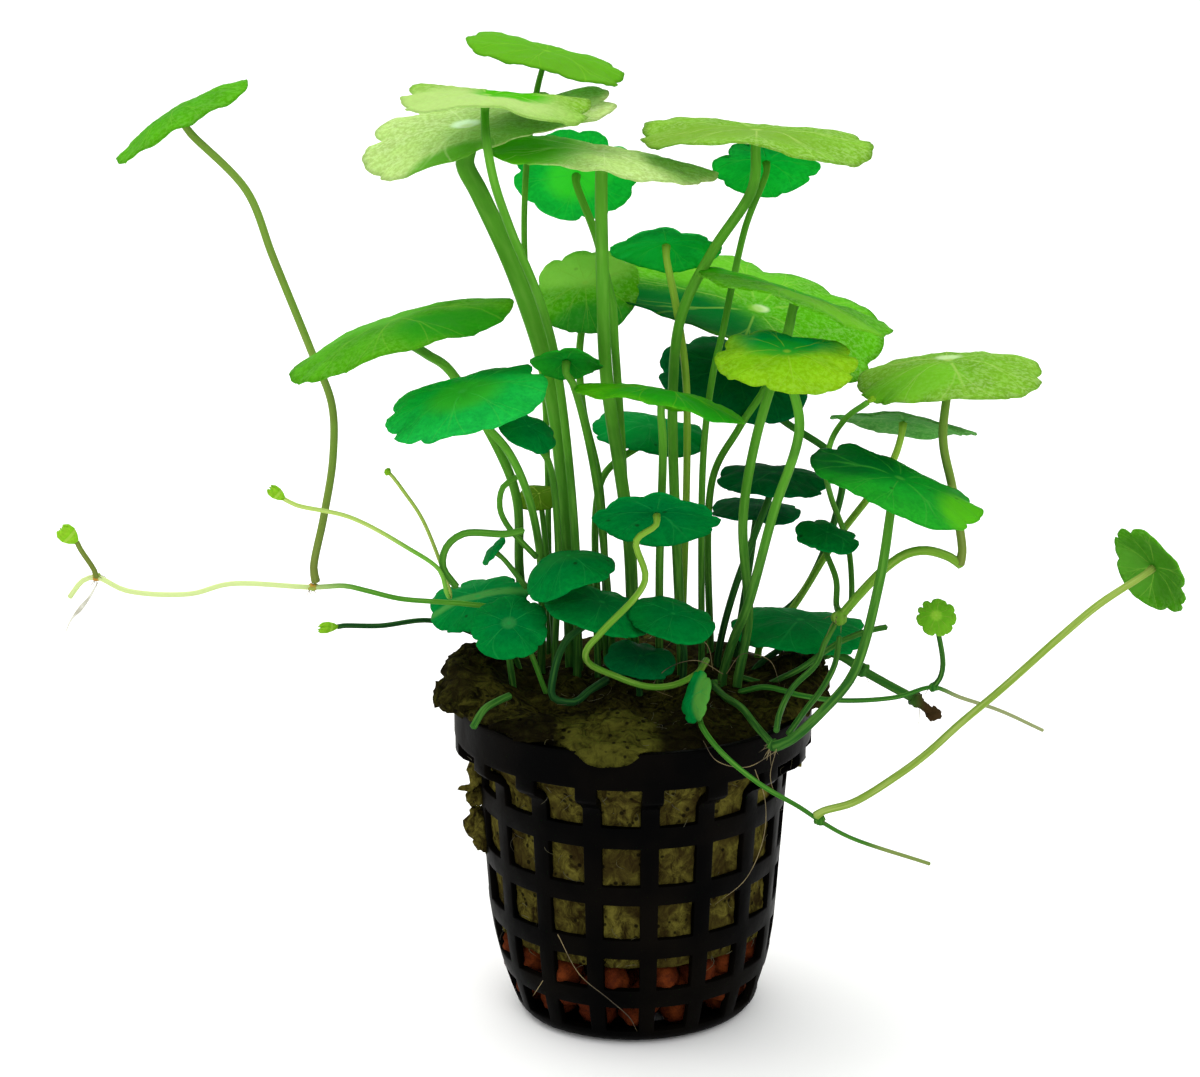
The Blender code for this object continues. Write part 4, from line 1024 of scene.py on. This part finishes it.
def young_leaf(number, stalk, bud, foot=None, width=0.9, skin="pale", bead=False):
    """A stalk with a folded leaf or a round bead at its tip; bud is its length and girth."""
    path = planted(route(stalk, stalk[0][2], foot[1] if foot else stalk[-1][2]), foot)
    length, girth = bud
    way = (path[0] - path[1]) / np.linalg.norm(path[0] - path[1])
    root = path[0] - way * 0.8 * length
    path = [root] + [spot for spot in path[1:] if np.linalg.norm(spot - path[0]) > length]
    if bead:
        tip = ball(path[0], (girth / 2,) * 3, 0.2, number)
    else:
        tip = folded_leaf(path[0], way, length, girth, number)
    name = f"young_leaf_{number}"
    made = piece("pennywort_" + name, [stem(path, [0.45 * width] * len(path), finish=1), tip],
                 [blade_finish(name, "young"), STALKS[skin]])
    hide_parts(name)


young_leaf(1, [(-85.3, 76.8, -5), (-84.2, 75.9), (-82.9, 74.2), (-80.8, 71, -5), (-80.5, 70, -5)], (3.0, 3.2),
           width=0.9, skin="brown")
young_leaf(2, [(-54, 83, -11), (-52.7, 82), (-50.5, 80.8), (-42.5, 79), (-34, 74.5), (-29, 71),
               (-28, 67.8, -11), (-27.6, 67, -9)], (2.6, 2.1), width=0.75, skin="cream")
young_leaf(3, [(-37.5, 86.5, -6), (-36, 85), (-34.5, 83), (-31.5, 78.5), (-27.5, 67.9, -6),
               (-27.4, 66.9, -5.5)], (1.2, 1.1), width=0.65, skin="yellow", bead=True)
young_leaf(4, [(-46.4, 62.4, 2), (-45, 62.5), (-43.5, 62.7), (-38, 62.7), (-30.5, 63.5, 11.5),
               (-25, 62, 12)], (3.0, 2.1), foot=(-17.5, 9.5), skin="dark")
young_leaf(5, [(36, 96.8, -17), (34.6, 95.8, -16), (32.2, 94.1, -13), (29.8, 90.6, -8), (29, 86, -4),
               (29.7, 82, 2), (32.3, 74.5, 5.5), (32.7, 66, -2), (31.5, 65, -8)], (1.5, 0.9), skin="green",
           width=1.0)


# Creeping stems.
# Thin runners leave the wool, hang over the rim and arch in the air. They thicken at their nodes,
# where leaves and roots start, and fine dark hair roots stand out of the nodes.

def root_tuft(spot, count, reach, seed):
    """Short hair roots that leave a node and droop."""
    draw = random.Random(seed)
    hairs = []
    for _ in range(count):
        way = Vector((draw.uniform(-1, 1), draw.uniform(-0.8, 0.8), draw.uniform(-1.0, 0.4))).normalized()
        length = reach * draw.uniform(0.45, 1.0)
        bend = Vector((draw.uniform(-1, 1), draw.uniform(-1, 1), draw.uniform(-1, 1))) * 0.2 * length
        drop = Vector((0.0, 0.0, 0.3 * length))
        start = Vector(spot)
        line = [start, start + 0.4 * length * way + 0.5 * bend,
                start + 0.75 * length * way + 0.4 * bend - 0.4 * drop, start + length * way - drop]
        thick = draw.uniform(0.04, 0.08)
        hairs.append(stem(line, [thick, thick, 0.8 * thick, 0.4 * thick], sides=4, step=0.4, finish=1))
    return hairs


def root_finish():
    finish = Finish("hair_root", 0.55)
    shade = finish.clouds(240.0, 3.0)
    body = finish.blend(finish.ramp(shade, 0.35, 0.65), tone(56, 46, 24), tone(132, 116, 74))
    see_through(finish, body, finish.relief(shade, 0.0001, 0.4), 0.2)
    finish.put(finish.shader.inputs["Base Color"], body)
    return finish.material


root_look = root_finish()
node_look = mottled_finish("stem_node", 0.5, (700.0, 4.0), (0.42, 0.62),
                           tone(132, 160, 66), tone(176, 124, 44), 0.1)
KNOT_SHARE = (0.85, 0.75, 0.75)
TUFT_REACH = 2.4


def runner(name, points, width, lying=(), skin="green", knots=(), tuft=0, tail=1.0):
    """A creeping stem that thins to its tail; it may start on the wool, and swells at its knots."""
    path = [np.array((x, y, wool_height(x, y) + 0.5 * width + 0.45)) for x, y in lying]
    path += route(points, points[0][2], points[-1][2])
    bits = [stem(path, np.linspace(0.5, 0.5 * tail, len(path)) * width)]
    for knot in knots:
        bits.append(ball(path[knot], [share * width for share in KNOT_SHARE], 0.35, 3.0 * knot,
                         finish=2 if skin == "fading" else 0))
        bits += root_tuft(path[knot], tuft, TUFT_REACH * width, knot + len(path))
    made = piece("pennywort_" + name, bits, [STALKS[skin], root_look, node_look])
    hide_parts(name)


runner("runner_left",
       [(-16.5, 61, -5), (-20, 65, -4), (-25, 66, -5), (-29, 66.3), (-35, 66.8), (-40, 68), (-43.2, 68.7),
        (-48, 68.5, -6), (-60.5, 69), (-66.5, 67.5), (-76, 68), (-80.5, 70), (-82.5, 69.5),
        (-84.5, 67, -4)], 0.8, lying=[(-13, -6)], skin="fading", knots=[8, 12], tuft=9)
runner("runner_arc",
       [(-26.5, 68.6, -10), (-28.5, 71.5), (-28, 74.5), (-25.5, 76.5), (-19, 76.5), (-16.5, 77, -10)], 1.1)
runner("runner_loop",
       [(-17.5, 85, -6), (-19.5, 83.5), (-20, 80.5), (-19, 78, -6), (-14.5, 73, -4)], 0.9)
runner("runner_front",
       [(20, 53.5, -9), (25.5, 52.2, -12.5), (31.5, 51.5, -10), (39.5, 52), (45, 53.5, -8), (49, 52),
        (55, 50), (61.5, 47, -8)], 0.9, lying=[(16, -5.5)], skin="straw", knots=[5], tuft=2, tail=0.6)
runner("runner_right_low",
       [(9.8, 50.3, -16.5), (10.5, 47.3, -24), (13.5, 43.5, -28.5), (19, 39, -30), (25, 35.5, -29.5),
        (28, 33.5, -28.5), (32.5, 31, -28), (44.5, 27, -28)], 0.95, lying=[(9, -6)],
       skin="low_straw", knots=[6], tuft=3, tail=0.6)
runner("runner_low",
       [(18.5, 47.6, -20), (21, 44.8, -26)], 1.1, lying=[(12, -3), (13.5, -8), (16, -14)],
       knots=[0, 4], tuft=10)
runner("runner_rise_1",
       [(21.5, 47, -26.5), (22, 49.5, -22), (24, 53.5, -16), (27.5, 57, -13), (28.7, 60, -11),
        (30.3, 63, -10)], 0.9)
runner("runner_rise_2",
       [(23.3, 46.5, -24), (25.8, 50, -20), (28.5, 53.5, -17), (30.3, 57, -14), (31, 61, -12)], 0.9)
runner("runner_arch",
       [(31, 64, -10), (34.5, 68, -10), (38, 71.5), (41, 73.5), (44, 74), (47.5, 73), (49.2, 71.8, -9)], 1.4,
       skin="pale", knots=[0], tuft=10)
runner("runner_bud",
       [(22.5, 55, -5), (25.5, 56.5, -8), (28, 58.3), (31.5, 60.5), (35.5, 62), (38, 62.5, -8)],
       0.9, lying=[(16.5, 1.5), (20, -1)])
runner("runner_cut_end",
       [(29, 58.9, 3), (31.5, 58, 2.5), (34.5, 56, 2), (38, 54, 1), (42.5, 51.5, 0), (45, 49.5, 0)], 1.4,
       skin="cut", knots=[0, 2, 4, 5], tuft=2)
runner("cut_stub",
       [(-18.5, 52.2, -17), (-20.5, 51.3, -19), (-22.5, 50, -22), (-24, 47.5, -24)], 1.1)


# Long roots.
# A few hair-thin roots hang from the nodes down the front of the pot, and one pale root, thick in
# its middle, hangs in the air from the end of the left runner.

LONG_ROOTS = [
    ([(18.3, 41.1, -25.5), (19.8, 36.6, -24), (19.5, 30.6, -22.5), (16.8, 24.6, -22.5),
      (12.3, 20.9, -23)], 0.06),
    ([(-11.3, 16.4, -23), (-8, 10.4, -22.5), (-3.5, 6.6, -22), (-0.5, 3.9, -21.5), (0.6, 1.9, -21)], 0.065),
    ([(-13.5, 9.5, -21.5), (-14.4, 8.1, -21.8), (-15, 7.2, -21.4)], 0.055),
    ([(21.5, 43.9, -28.4), (17, 41.5, -28.8), (12.5, 42.5, -28.4), (10.5, 45.5, -27.8)], 0.06),
    ([(21.5, 44.2, -28.2), (20.6, 40.2, -28), (21.6, 36.4, -26.5)], 0.055),
    ([(13.5, 55.5, -8), (9.5, 57.5, -9), (5, 56.2, -9.5), (3, 53.5, -11), (6, 52, -13)], 0.06),
    ([(14, 55.5, -8), (16.5, 58.5, -9), (20.5, 57.5, -10), (22, 54, -12)], 0.055),
    ([(12, 56, -8), (11, 60, -8.5), (7.5, 61.5, -9), (4.5, 59, -10)], 0.055)]
PALE_ROOT = [(-80.3, 69.2, -4), (-81.4, 67.2, -4), (-82.8, 65.4, -4), (-84.4, 63.4, -4), (-85.2, 61.4, -4)]
PALE_ROOT_RADII = [0.1, 0.2, 0.36, 0.14, 0.05]
pale_root = mottled_finish("pale_root", 0.5, (400.0,), (0.4, 0.6), tone(206, 206, 192), tone(170, 168, 150))
hairs = [stem(route(line, line[0][2], line[-1][2]), [thick] * (len(line) - 1) + [0.3 * thick],
              sides=6, step=0.5) for line, thick in LONG_ROOTS]
hairs.append(stem(route(PALE_ROOT, -4, -4), PALE_ROOT_RADII, sides=8, step=0.4, finish=1))
roots = piece("hair_roots", hairs, [root_look, pale_root])
